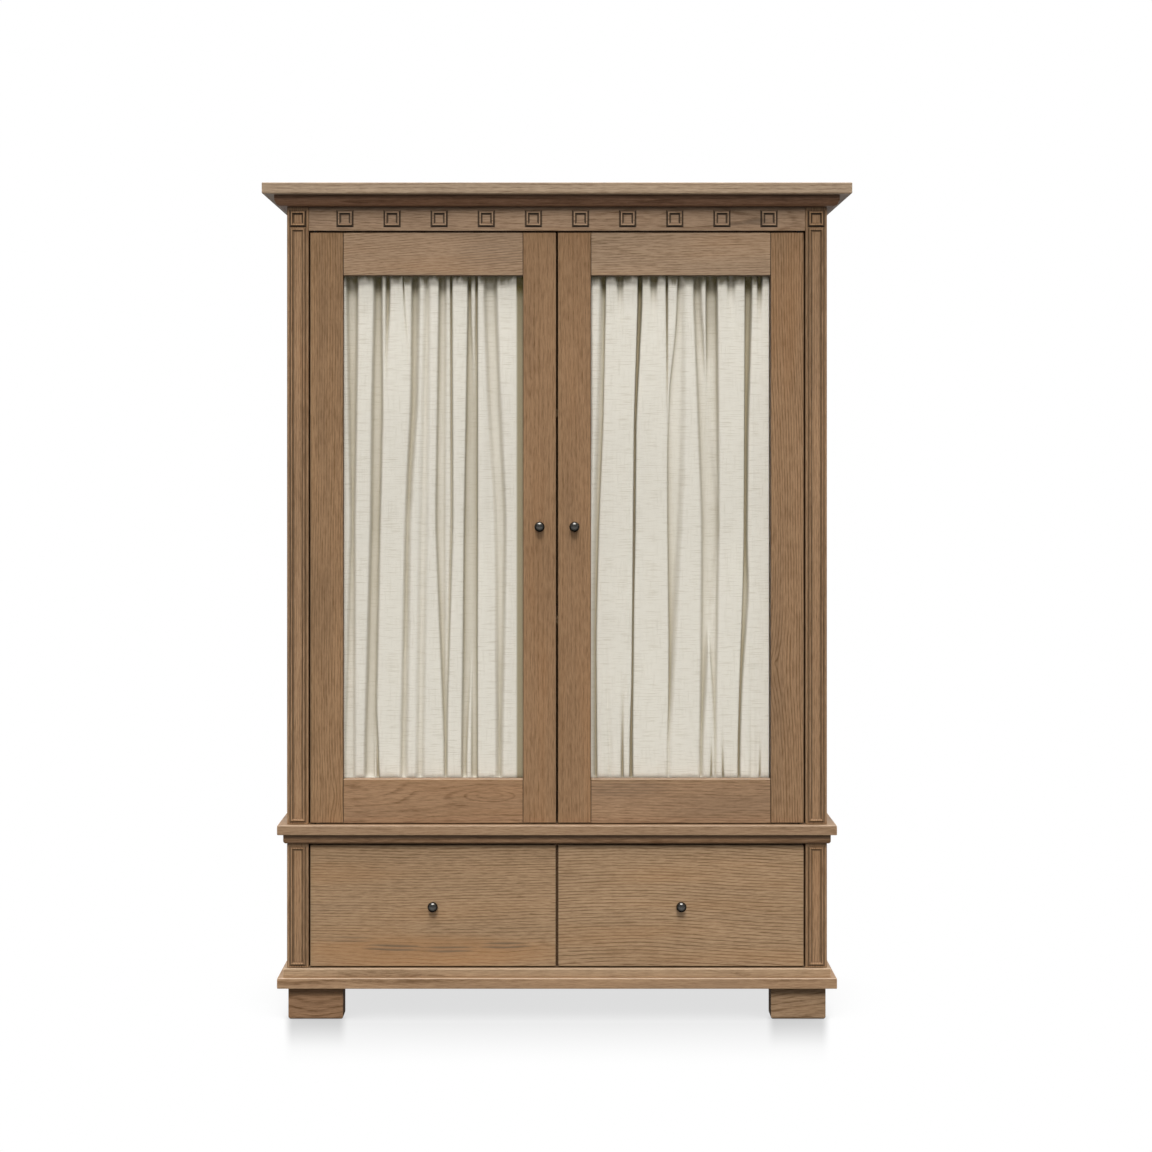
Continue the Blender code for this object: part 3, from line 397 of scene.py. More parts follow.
RIGHT_VALLEYS = (
    ((0.016, 0.005), (0.00, 0.074, 0.100, 0.80), (0.05, 0.072, 0.098, 0.75),
     (0.29, 0.055, 0.085, 0.70), (0.49, 0.036, 0.062, 0.75), (0.72, 0.027, 0.046, 0.80),
     (1.00, 0.031, 0.051, 0.90)),
    ((0.010, 0.012), (0.05, -0.02, 0.018, 0.60), (0.29, -0.02, 0.018, 0.50),
     (0.49, -0.02, 0.010, 0.30), (0.72, -0.02, 0.004, 0.00)),
    ((0.011, 0.011), (0.00, 0.158, 0.200, 0.85), (0.02, 0.165, 0.194, 0.65),
     (0.05, 0.168, 0.190, 0.25), (0.13, 0.168, 0.190, 0.00)),
    ((0.007, 0.014), (0.72, 0.091, 0.102, 0.00), (0.82, 0.099, 0.113, 0.22),
     (0.94, 0.113, 0.129, 0.25), (1.00, 0.118, 0.135, 0.30)),
    ((0.006, 0.006), (0.78, 0.190, 0.199, 0.00), (0.91, 0.186, 0.197, 0.45),
     (0.94, 0.185, 0.197, 0.60), (1.00, 0.184, 0.198, 0.70)),
    ((0.005, 0.006), (0.05, 0.277, 0.300, 1.00), (0.29, 0.256, 0.267, 1.00),
     (0.53, 0.250, 0.261, 1.00), (0.63, 0.247, 0.255, 0.90), (0.82, 0.242, 0.250, 0.80),
     (0.90, 0.233, 0.247, 0.90), (1.00, 0.231, 0.248, 0.95)),
    ((0.011, 0.011), (0.00, 0.342, 0.385, 0.85), (0.02, 0.348, 0.380, 0.70),
     (0.05, 0.350, 0.377, 0.30), (0.11, 0.350, 0.377, 0.00)),
    ((0.006, 0.006), (0.00, 0.431, 0.442, 0.80), (0.11, 0.433, 0.441, 0.65),
     (0.25, 0.436, 0.443, 0.30), (0.35, 0.438, 0.445, 0.00)),
    ((0.006, 0.020), (0.00, 0.498, 0.530, 0.60), (0.11, 0.486, 0.530, 0.60),
     (0.22, 0.450, 0.528, 0.60), (0.35, 0.440, 0.522, 0.65), (0.49, 0.441, 0.508, 0.75),
     (0.72, 0.448, 0.478, 0.85), (0.84, 0.446, 0.460, 0.90), (0.94, 0.440, 0.448, 0.65),
     (1.00, 0.438, 0.446, 0.50)),
    ((0.011, 0.013), (0.05, 0.586, 0.625, 0.80), (0.25, 0.608, 0.664, 0.85),
     (0.49, 0.631, 0.721, 0.80), (0.72, 0.628, 0.664, 0.80), (0.94, 0.619, 0.632, 0.85)),
    ((0.008, 0.009), (0.05, 0.654, 0.713, 0.95), (0.25, 0.653, 0.719, 0.90),
     (0.49, 0.642, 0.723, 0.55), (0.72, 0.669, 0.713, 0.60), (0.84, 0.691, 0.708, 0.50),
     (0.94, 0.698, 0.708, 0.50)),
    ((0.011, 0.011), (0.00, 0.766, 0.815, 0.85), (0.02, 0.772, 0.810, 0.65),
     (0.05, 0.774, 0.807, 0.20), (0.09, 0.774, 0.807, 0.00)),
    ((0.005, 0.009), (0.05, 0.868, 0.904, 0.95), (0.29, 0.865, 0.884, 1.00),
     (0.53, 0.862, 0.878, 1.00), (0.63, 0.856, 0.887, 0.75), (0.82, 0.837, 0.849, 0.80),
     (0.94, 0.828, 0.839, 0.90)),
    ((0.009, 0.009), (0.00, 0.933, 0.963, 0.90), (0.02, 0.937, 0.959, 0.75),
     (0.05, 0.937, 0.959, 0.35), (0.17, 0.928, 0.950, 0.00), (0.72, 0.895, 0.928, 0.00),
     (0.94, 0.895, 0.928, 0.30), (1.00, 0.895, 0.928, 0.35)),
    ((0.005, 0.005), (0.88, 0.684, 0.690, 0.00), (1.00, 0.675, 0.685, 0.70)),
    ((0.005, 0.005), (0.90, 0.738, 0.744, 0.00), (1.00, 0.742, 0.752, 0.70)),
    ((0.005, 0.005), (0.90, 0.950, 0.956, 0.00), (1.00, 0.944, 0.954, 0.60)),
)

# How far the left curtain reaches past its CAD solid, to close the opening up to the stile
BEHIND_STILE = 0.0135

# Opening behind which a curtain is seen, in metres above the floor
OPENING_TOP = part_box("left_door_top_rail")[0].z
OPENING_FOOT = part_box("left_door_bottom_rail")[1].z


def board(slot, grain, heart, ring, tilt=(0, 0, 0), tint=(1, 1, 1), wave=0.008, figure=1.0,
          arris=CORNER_HIGHLIGHT, figures=(), streaks=(), glows=(), joints=(), frames=(), under_edge_shade=(), worn=0.0,
          gloss=0.22):
    """What makes one board look cut from its own tree.

    grain is the axis of the fibres; heart is where the tree's heart runs, from the board's
    middle; ring is the width of a year; tilt is the slope of the heart in degrees; tint is laid
    over the colour of the slot; wave is how far the rings wander and figure how strongly they
    show; arris is the painted highlight on its corners, or painted shade along them if below 0.
    figures are eyes and knots on the front, as (x, z, rings, half width, half height); streaks
    are greyed veins and glows orange places, as (x, z, half width, half height, strength);
    joints are the x at which a dark joint line crosses the board; frames are bead frames with
    painted shade at their feet and a painted highlight on their crest, as (x, z, half height,
    pitch along x or 0); the shade under an edge is painted shade below an overhanging edge, as
    (z where it starts, z where it is full, strength, depth from the front); worn is how far the
    upper corners are turned to pale wood, as wear and as painted highlight; gloss is the sheen.
    Lengths are in metres.
    """
    return dict(slot=slot, grain=grain, heart=heart, ring=ring, tilt=tilt, tint=tint, wave=wave,
                figure=figure, arris=arris, figures=figures, streaks=streaks, glows=glows,
                joints=joints, frames=frames, under_edge_shade=under_edge_shade, worn=worn, gloss=gloss)


# What the boards of a kind share, and the bead frames of a post as (z, half height). The cornice's
# tint is darker and redder, its darkness painted shade under the top board; posts, feet and
# drawer fronts carry painted shade under the edge above them
CORNICE = dict(tint=(0.74, 0.64, 0.65), arris=0, under_edge_shade=((1.998, 2.011, 0.50, 1.0),))
UPPER_POST = dict(frames=((BLOCK_Z, BLOCK_HALF), (1.2095, 0.725)),
                  under_edge_shade=((1.974, 1.983, 0.55, 0.1),))
LOWER_POST = dict(frames=((0.278, 0.144),), under_edge_shade=((0.417, 0.428, 0.60, 0.1),))
FRONT_FOOT = dict(wave=0.012, arris=0, under_edge_shade=((0.049, 0.071, 0.52, 0.5),), gloss=0.02)
BACK_FOOT = dict(tint=(0.82, 0.80, 0.78), arris=0)
MEETING_STILE = dict(tint=(0.89, 0.88, 0.85), figure=0.45, arris=CORNER_SHADE)
DRAWER_FRONT = dict(arris=CORNER_SHADE, under_edge_shade=((0.4135, 0.4262, 0.72, 0.0012),))

# The x of the joints between the rails and the stiles of each door
LEFT_JOINTS = (-0.5225, -0.083)
RIGHT_JOINTS = (0.5225, 0.083)


def post(kind, x, heart, ring):
    """A post at x, with the bead frames of its kind and its painted shade under the edge above."""
    frames = [(x, z, half_height, 0) for z, half_height in kind["frames"]]
    return board(CASE, "Z", heart, ring, tint=(0.98, 0.95, 0.91), arris=0, frames=frames,
                 under_edge_shade=kind["under_edge_shade"])


BOARDS = {
    "top_board": board(TOP, "X", (0, -0.16, -0.10), 0.0050),
    "cornice_front": board(CASE, "X", (0, 0.10, 0.06), 0.0040, **CORNICE),
    "cornice_left": board(CASE, "Y", (0.08, 0, 0.06), 0.0040, **CORNICE),
    "cornice_right": board(CASE, "Y", (-0.08, 0, 0.06), 0.0040, **CORNICE),
    # The frieze's tint is greyer oak and also paler, as painted light against the cornice's shade;
    # its top carries painted shade under the cornice
    "frieze_rail": board(CASE, "X", (0, 0.10, 0.05), 0.0050, tilt=(0, 5, 2),
                         tint=(1.04, 1.10, 1.22), wave=0.02, figure=0.8, arris=0,
                         frames=((BLOCK_PITCH / 2, BLOCK_Z, BLOCK_HALF, BLOCK_PITCH),),
                         streaks=((0.50, 1.950, 0.05, 0.008, 0.5), (0.40, 1.945, 0.06, 0.006, 0.4)),
                         under_edge_shade=((1.974, 1.983, 0.62, 0.1),)),
    "upper_post_left": post(UPPER_POST, -POST_X, (0.12, 0.05, 0), 0.0045),
    "upper_post_right": post(UPPER_POST, POST_X, (-0.12, 0.06, 0), 0.0050),
    "upper_side_left": board(CASE, "Z", (0.05, 0.08, 0), 0.0060, tilt=(0.8, 0, 0), wave=0.02,
                             arris=0),
    "upper_side_right": board(CASE, "Z", (-0.06, 0.02, 0), 0.0060, tilt=(-0.8, 0, 0), wave=0.02,
                              arris=0),
    "upper_back_panel": board(INSIDE, "Z", (0.10, 0.12, 0), 0.0070, tilt=(0, 0.5, 0), wave=0.03),
    "waist_board": board(CASE, "X", (0, 0.20, -0.05), 0.0060, tint=(0.97, 0.99, 1.02), wave=0.004,
                         figure=0.35, worn=0.75),
    # The waist moulding's tint is darker as painted shade under the waist board, and it carries
    # more painted shade just under that board
    "waist_moulding": board(CASE, "X", (0, 0.15, 0.08), 0.0050, tint=(0.78, 0.74, 0.72), wave=0.004,
                            under_edge_shade=((0.438, 0.452, 0.62, 1.0),)),
    "lower_post_left": post(LOWER_POST, -POST_X, (0.10, 0.07, 0), 0.0045),
    "lower_post_right": post(LOWER_POST, POST_X, (-0.15, 0.05, 0), 0.0045),
    "lower_side_left": board(CASE, "Z", (0.04, 0.0, 0), 0.0060, tilt=(2, 0, 0), wave=0.02),
    "lower_side_right": board(CASE, "Z", (-0.04, 0.03, 0), 0.0060, tilt=(-2, 0, 0), wave=0.02),
    "lower_back_panel": board(INSIDE, "X", (0, 0.08, 0.05), 0.0070, wave=0.03),
    "base_step": board(CASE, "X", (0, 0.05, -0.02), 0.0045, tilt=(0, 1, 0), tint=(1.16, 1.24, 1.30),
                       wave=0.012, figure=0.8, worn=0.9),
    "base_board": board(CASE, "X", (0, 0.16, 0.05), 0.0050, tint=(1.07, 1.07, 1.07), worn=0.9),
    "foot_front_left": board(CASE, "X", (0, 0.07, 0.05), 0.0070, tint=(0.87, 0.81, 0.79),
                             figures=((-0.590, 0.010, -1.6, 0.060, 0.060),), **FRONT_FOOT),
    "foot_front_right": board(CASE, "X", (0, 0.06, -0.05), 0.0060, tilt=(0, -9, 0),
                              tint=(1.02, 1.05, 1.08), **FRONT_FOOT),
    "foot_back_left": board(CASE, "X", (0, -0.07, 0.05), 0.0060, **BACK_FOOT),
    "foot_back_right": board(CASE, "X", (0, -0.06, -0.05), 0.0060, **BACK_FOOT),
    "shelf_upper": board(INSIDE, "X", (0, 0.05, -0.07), 0.0060, wave=0.02),
    "shelf_lower": board(INSIDE, "X", (0, -0.06, -0.06), 0.0060, wave=0.02),
    "drawer_partition": board(INSIDE, "Y", (0.08, 0, 0.05), 0.0060, tint=(0.30, 0.26, 0.24)),
    "drawer_guide_left": board(INSIDE, "Y", (0.05, 0, 0.05), 0.0050),
    "drawer_guide_right": board(INSIDE, "Y", (-0.05, 0, 0.05), 0.0050),
    "door_catch_left": board(INSIDE, "X", (0, 0.05, 0.05), 0.0050),
    "door_catch_right": board(INSIDE, "X", (0, 0.05, 0.05), 0.0050),
    "left_door_hinge_stile": board(
        DOOR, "Z", (0.35, 0.20, 0), 0.0052, tilt=(0, 0.3, 0), tint=(0.95, 0.95, 0.91), wave=0.010,
        figure=1.1, arris=CORNER_SHADE, figures=((-0.540, 0.545, 2.2, 0.020, 0.050),)),
    "left_door_meeting_stile": board(
        DOOR, "Z", (0.20, 0.30, 0), 0.0060, **MEETING_STILE,
        figures=((-0.0400, 1.233, 1.0, 0.006, 0.012), (-0.0697, 1.786, 0.8, 0.005, 0.010),
                 (-0.0610, 1.558, 0.8, 0.005, 0.010))),
    "left_door_top_rail": board(
        DOOR, "X", (0, 0.24, -0.32), 0.0050, tilt=(0, -5, 0), tint=(1.11, 1.24, 1.42), wave=0.007,
        figure=0.8, arris=CORNER_SHADE, joints=LEFT_JOINTS,
        streaks=((-0.16, 1.87, 0.10, 0.030, 0.45),)),
    "left_door_bottom_rail": board(
        DOOR, "X", (0, 0.070, 0.030), 0.0065, tint=(0.99, 1.00, 1.02), figure=0.75,
        worn=0.8, joints=LEFT_JOINTS,
        figures=((-0.1637, 0.549, 5.0, 0.088, 0.019), (-0.330, 0.553, 1.4, 0.060, 0.020))),
    "left_door_glass_bead": board(DOOR, "Z", (0.10, 0.10, 0), 0.0040, arris=0),
    "right_door_hinge_stile": board(
        DOOR, "Z", (-0.28, 0.16, 0), 0.0056, tilt=(0, -1.0, 0), tint=(0.95, 0.96, 0.95), wave=0.016,
        figure=1.6, arris=CORNER_SHADE,
        figures=((0.530, 0.850, 3.0, 0.030, 0.090), (0.532, 0.872, 1.0, 0.006, 0.012))),
    "right_door_meeting_stile": board(DOOR, "Z", (-0.22, 0.28, 0), 0.0060, **MEETING_STILE),
    "right_door_top_rail": board(
        DOOR, "X", (0, 0.26, 0.30), 0.0049, tilt=(0, -2, 0), tint=(1.11, 1.27, 1.48), wave=0.007,
        figure=0.8, arris=CORNER_SHADE, joints=RIGHT_JOINTS),
    "right_door_bottom_rail": board(
        DOOR, "X", (0, 0.22, 0.28), 0.0055, tilt=(0, 1, 0), tint=(0.96, 1.00, 1.06), wave=0.006,
        figure=0.8, worn=0.8, joints=RIGHT_JOINTS, streaks=((0.17, 0.565, 0.10, 0.022, 0.5),)),
    "right_door_glass_bead": board(DOOR, "Z", (-0.10, 0.10, 0), 0.0040, arris=0),
    "left_drawer_front": board(
        DRAWER, "X", (0, 0.30, -0.45), 0.0061, tint=(1.02, 1.05, 1.06), wave=0.010, figure=1.3,
        **DRAWER_FRONT,
        figures=((-0.430, 0.135, 1.6, 0.090, 0.040), (-0.290, 0.140, 1.2, 0.060, 0.035),
                 (-0.130, 0.140, 1.4, 0.070, 0.040), (-0.330, 0.420, 1.5, 0.220, 0.120)),
        streaks=((-0.400, 0.176, 0.070, 0.012, 0.9), (-0.262, 0.172, 0.060, 0.012, 0.8),
                 (-0.127, 0.180, 0.060, 0.011, 0.9), (-0.510, 0.196, 0.060, 0.008, 0.5)),
        glows=((-0.330, 0.165, 0.330, 0.040, 0.55),)),
    "left_drawer_box": board(INSIDE, "Y", (0.10, 0, 0.12), 0.0060, wave=0.02, arris=0),
    "right_drawer_front": board(
        DRAWER, "X", (0, 0.25, -0.40), 0.0065, tint=(1.05, 1.09, 1.11), wave=0.011, figure=1.7,
        **DRAWER_FRONT,
        figures=((0.200, 0.300, -4.5, 0.380, 0.800), (0.508, 0.262, 0.8, 0.050, 0.014))),
    "right_drawer_box": board(INSIDE, "Y", (-0.10, 0, 0.12), 0.0060, wave=0.02, arris=0),
}

# Colours in a board, as shares of its own colour, and the pale colour of the upper corners, as wear
# and as painted highlight
PALE_WOOD = (1.26, 1.27, 1.29)
DARK_WOOD = (0.60, 0.54, 0.48)
WARM_WOOD = (1.22, 0.98, 0.74)
GREY_WOOD = (0.50, 0.54, 0.62)
PORE = (0.34, 0.30, 0.27)
WORN_AND_LIT_OAK = (0.60, 0.47, 0.36, 1.0)


def along_grain(grain, along, across):
    """A scale for noise: one figure along the grain and one on the two axes across it."""
    return tuple(along if axis == grain else across for axis in "XYZ")


def from_place(x, z, at_x, at_z, half_width, half_height):
    """Squared distance from a place on the front, 1 on the ellipse that its half sizes span."""
    return ((x - at_x) / half_width) ** 2 + ((z - at_z) / half_height) ** 2


def growth_rings(tree, point, grain, wood, middle, seed):
    """Where a point lies in the tree, counted in rings from the heart."""
    log = tree.node("ShaderNodeMapping", {"vector_type": "TEXTURE"}, {
        "Vector": point, "Location": middle + Vector(wood["heart"]),
        "Rotation": [math.radians(turn) for turn in wood["tilt"]]}).outputs[0]
    wander = tree.noise(point, along_grain(grain, 1.3, 7.0), seed=seed, detail=2.0).outputs[1]
    wander = tree.vector("SUBTRACT", wander, (0.5, 0.5, 0.5)).outputs[0]
    bent = tree.vector("ADD", log, tree.scaled(wander, wood["wave"] * 2)).outputs[0]
    flat = tree.vector("MULTIPLY", bent, along_grain(grain, 0.0, 1.0)).outputs[0]
    radius = Number(tree, tree.vector("LENGTH", flat).outputs[1])
    rings = radius / wood["ring"]
    x, _, z = tree.split(point)
    for at_x, at_z, rise, half_width, half_height in wood["figures"]:
        rings = rings + rise / (1 + from_place(x, z, at_x, at_z, half_width, half_height))
    return rings + tree.grey_noise(point, along_grain(grain, 9, 60), seed=seed + 3.1) * 0.5


def in_places(tree, point, places):
    """How much a point lies in the streaks, or in the glows, of its board."""
    x, _, z = tree.split(point)
    total = 0
    for *place, strength in places:
        total = total + strength * tree.fade(from_place(x, z, *place), 1.6, 0.1)
    return total


def arris_mask(tree, point, low, high):
    """1 on the long corners of a board, where a painted highlight is laid, or painted shade on
    boards beside a gap.
    """
    away = [tree.least(value - start, end - value)
            for value, start, end in zip(tree.split(point), low, high)]
    first = tree.least(away[0], away[1])
    second = tree.greatest(away[0], away[1])
    second = tree.least(second, tree.greatest(first, away[2]))
    return tree.fade(second, 0.0021, 0.0006)


def bead_shade(tree, point, frame_place):
    """Painted shade along both feet of a bead frame, laid as light from above would cast it, and a
    painted highlight on the crest between them.
    """
    at_x, at_z, half_height, pitch = frame_place
    x, _, z = tree.split(point)
    across = x - at_x
    if pitch:
        across = tree.maths("WRAP", across, pitch / 2, -pitch / 2)
    wide = abs(across) - BLOCK_HALF
    tall = abs(z - at_z) - half_height
    outside = tree.greatest(wide, tall)
    level = tree.maths("GREATER_THAN", tall, wide)
    above = level * tree.maths("GREATER_THAN", z, at_z)
    below = level * tree.maths("LESS_THAN", z, at_z)
    foot = tree.fade(abs(outside - 0.0008), 0.0034, 0.0014)
    inner = tree.fade(abs(outside + BEAD_WIDTH + 0.0006), 0.0034, 0.0012)
    crest = tree.fade(abs(outside + BEAD_WIDTH / 2), 0.0022, 0.0006)
    strength = 1.12 if half_height == BLOCK_HALF else 0.72
    dark = foot * (0.70 - 0.46 * above + 0.12 * below)
    dark = dark + inner * (0.66 - 0.52 * below + 0.14 * above)
    return 1 + strength * (crest * (0.18 + 0.12 * below) - dark)


def marked(tree, point, tone, wood, low, high):
    """The tone with its board's joint lines and its painted light: on bead frames, under edges,
    beside gaps and on corners.
    """
    x, y, z = tree.split(point)
    for joint in wood["joints"]:
        tone = tree.scaled(tone, 1 - 0.38 * tree.fade(abs(x - joint), 0.0022, 0.0004))
    # Painted shade and highlight of the bead frames
    for frame_place in wood["frames"]:
        tone = tree.scaled(tone, bead_shade(tree, point, frame_place))
    # Painted shade under the edge above, strongest at its upper end and on the front
    for start, full, strength, depth in wood["under_edge_shade"]:
        shaded_under_edge = tree.fade(z, start, full) * tree.fade(y, low.y + depth, low.y + depth / 4)
        tone = tree.scaled(tone, 1 - strength * shaded_under_edge)
    # Painted shade on the front face along the gaps round doors and drawers
    if wood["arris"] < 0:
        edge = tree.least(tree.least(x - low.x, high.x - x), tree.least(z - low.z, high.z - z))
        gap_shaded = tree.fade(edge, 0.0007, 0.0002) * tree.fade(y, low.y + 0.010, low.y + 0.003)
        tone = tree.scaled(tone, 1 - 0.72 * gap_shaded)
    # Painted highlight on the corners, or painted shade below 0; upper corners go pale as wear and
    # as painted highlight
    if wood["arris"]:
        corner = arris_mask(tree, point, low, high)
        tone = tree.scaled(tone, 1 + wood["arris"] * corner)
        if wood["worn"]:
            upper = tree.fade(z, high.z - 0.006, high.z - 0.003)
            tone = tree.blend(corner * upper * wood["worn"], tone, WORN_AND_LIT_OAK)
    return tone


def oak_finish(node_name, wood, colour, seed):
    """Oiled oak as a solid of growth rings, so that faces and ends of a board agree."""
    oak = bpy.context.scene.cabinet_oak
    low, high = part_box(node_name)
    grain = wood["grain"]
    material, tree = new_material(f"{wood['slot']}_{node_name}")
    point = tree.place()

    def figure(along, across, further, detail=2.0, roughness=0.5):
        """Noise with a scale of its own along the grain, and a seed of its own."""
        return tree.grey_noise(point, along_grain(grain, along, across), seed=seed + further,
                               detail=detail, roughness=roughness)

    rings = growth_rings(tree, point, grain, wood, (low + high) / 2, seed)
    year = tree.maths("FLOOR", rings)
    within = rings - year
    luck = tree.node("ShaderNodeTexWhiteNoise", {"noise_dimensions": "1D"}, {"W": year + seed})
    luck = Number(tree, luck.outputs["Value"])
    breaks = figure(15, 100, 7)
    line = tree.fade(within, 0.0, 0.12) * tree.fade(within, 0.46, 0.12)
    early = line * (0.60 + 0.40 * luck) * (0.35 + 0.65 * tree.fade(breaks, 0.38, 0.58))
    vein = tree.fade(within, 0.0, 0.20) * tree.fade(within, 0.80, 0.25)

    fibre = figure(34, 460, 1, detail=3.0, roughness=0.6)
    strand = figure(4.0, 230, 2, detail=3.0)
    cloud = figure(2.2, 11, 4)
    mood = figure(1.6, 16, 5)
    pores = tree.fade(figure(75, 1500, 6, detail=1.0), 0.56, 0.70) * (0.30 + 0.70 * early)

    shade = early * (oak.ring_contrast * wood["figure"])
    shade = shade + (strand - 0.5) * 0.60 + (fibre - 0.5) * 2.20 + 0.22
    tone = tree.blend(shade, rgba(colour, PALE_WOOD), rgba(colour, DARK_WOOD))
    warm = tree.fade(mood, 0.50, 0.75) * 0.22 + in_places(tree, point, wood["glows"])
    tone = tree.blend(warm, tone, rgba(colour, WARM_WOOD))
    grey = in_places(tree, point, wood["streaks"]) * (0.15 + 0.85 * vein)
    grey = tree.fade(mood, 0.46, 0.28) * 0.20 + grey
    tone = tree.blend(grey, tone, rgba(colour, GREY_WOOD))
    tone = tree.blend(pores * 0.75, tone, rgba(colour, PORE))
    tone = tree.scaled(tone, 0.83 + 0.34 * cloud)
    tone = marked(tree, point, tone, wood, low, high)

    height = fibre * 0.35 - pores - early * 0.35
    tree.surface({
        "Base Color": tone,
        "Roughness": 0.50 + 0.16 * (fibre - 0.5) + 0.12 * pores,
        "Normal": tree.bump(height, oak.pore_depth, 0.5),
        "Specular IOR Level": wood["gloss"],
    })
    return material


# Specular tint that paints the glass's reflections dim and warm, as if they showed a room
GLASS_REFLECTION_TINT = (0.60, 0.55, 0.42, 1.0)


def glass_finish():
    """Clear glass that lets the lamps through and mirrors a little."""
    fittings = bpy.context.scene.cabinet_fittings
    material, tree = new_material("pane_glass")
    ripple = tree.grey_noise(tree.place(), (3.0, 3.0, 5.0), detail=1.0)
    pane = tree.node("ShaderNodeBsdfPrincipled", None, {
        "Base Color": rgba(fittings.glass_tint), "Roughness": 0.0, "IOR": 1.45,
        "Transmission Weight": 1.0, "Specular IOR Level": 0.20, "Specular Tint": GLASS_REFLECTION_TINT,
        "Normal": tree.bump(ripple, 0.0003, 0.3)})
    clear = tree.node("ShaderNodeBsdfTransparent", None, {"Color": rgba(fittings.glass_tint)})
    path = tree.node("ShaderNodeLightPath").outputs
    lamp = tree.greatest(path["Is Shadow Ray"], path["Is Diffuse Ray"])
    tree.output(tree.either(lamp, pane, clear))
    return material


def steel_finish(name, share):
    """Steel with fine drawing marks and a few dull spots, bright or, with a low share, aged."""
    fittings = bpy.context.scene.cabinet_fittings
    material, tree = new_material(name)
    point = tree.place()
    marks = tree.grey_noise(point, (40, 900, 900), detail=3.0)
    spots = tree.fade(tree.grey_noise(point, (60, 60, 60), detail=3.0), 0.55, 0.72)
    tree.surface({
        "Base Color": tree.blend(spots * 0.5, rgba(fittings.steel, (share,) * 3),
                                 rgba(fittings.steel, (share * 0.50, share * 0.42, share * 0.36))),
        "Metallic": 1.0, "Roughness": 0.28 + 0.20 * marks + 0.25 * spots,
        "Normal": tree.bump(marks, 0.00005, 0.4)})
    return material


def bronze_finish():
    """Patinated bronze, brighter where it is touched, with painted shade on its rim and most of all
    its lower side, and lacquered where that shade is not.
    """
    fittings = bpy.context.scene.cabinet_fittings
    material, tree = new_material("patinated_bronze")
    cloud = tree.grey_noise(tree.place(), (180, 180, 180), detail=3.0)
    worn = tree.fade(cloud, 0.48, 0.66)
    tone = tree.blend(worn * 0.55, rgba(fittings.bronze), rgba(fittings.bronze, (1.5, 1.4, 1.25)))
    # Painted shade: darker away from a point a little over the middle of the ball, so the rim and
    # lower side are shaded, and the lacquer coat is left off there
    rim = tree.fade(tree.attribute("rim"), 0.45, 1.0)
    speckle = tree.grey_noise(tree.place(), (1400, 1400, 1400))
    tree.surface({
        "Base Color": tree.blend(rim * 0.9, tone, rgba(fittings.bronze, (0.10, 0.09, 0.07))),
        "Coat Weight": 1 - rim, "Coat Roughness": 0.18,
        "Metallic": 1.0, "Roughness": 0.26 - 0.06 * worn + 0.06 * cloud,
        "Specular Tint": (0.20, 0.20, 0.20, 1.0),
        "Normal": tree.bump(speckle, 0.00004, 0.4)})
    return material


# Colours of the cloth, as shares of the linen's own colour: a slub and a stout thread, then
# painted shade in the closed part of a fold, in a gather under the top rail, and as the rail's
# shadow on the cloth close under it
SLUB = (0.80, 0.77, 0.72)
THREAD = (0.84, 0.82, 0.78)
FOLD_SHADE = (0.445, 0.395, 0.285)
GATHER_SHADE = (0.078, 0.058, 0.0)
RAIL_SHADOW = (0.122, 0.092, 0.004)


def linen_finish():
    """Plain woven linen with slubs along the weft, on the cloth's own UV map in metres."""
    curtain = bpy.context.scene.cabinet_curtains
    material, tree = new_material("woven_linen")
    cloth = tree.node("ShaderNodeUVMap", {"uv_map": "cloth"}).outputs[0]
    u, v, _ = tree.split(cloth)
    turn = 2 * math.pi / curtain.thread_pitch
    jitter = tree.grey_noise(cloth, (90, 90, 1)) * 5.0
    weave = tree.maths("SINE", u * turn + jitter) * tree.maths("SINE", v * turn + jitter)
    slub = tree.fade(tree.grey_noise(cloth, (24, 400, 1), detail=3.0), 0.50, 0.72)
    thread = tree.grey_noise(cloth, (420, 22, 1), seed=7.0)
    cloud = tree.grey_noise(cloth, (9, 7, 1), seed=3.0)
    tone = tree.blend(slub * 0.85, rgba(curtain.linen), rgba(curtain.linen, SLUB))
    tone = tree.blend(tree.fade(thread, 0.52, 0.74) * 0.5, tone, rgba(curtain.linen, THREAD))
    tone = tree.scaled(tone, 0.955 + 0.03 * weave + 0.09 * cloud)
    tree.surface({
        "Base Color": shaded_folds(tree, cloth, tone, curtain.linen),
        "Roughness": 0.85 + 0.08 * slub,
        "Sheen Weight": 0.05, "Sheen Roughness": 0.5, "Specular IOR Level": 0.15,
        "Normal": tree.bump(weave * 0.5 + slub * 0.9 + thread, 0.00018, 0.7)})
    return material


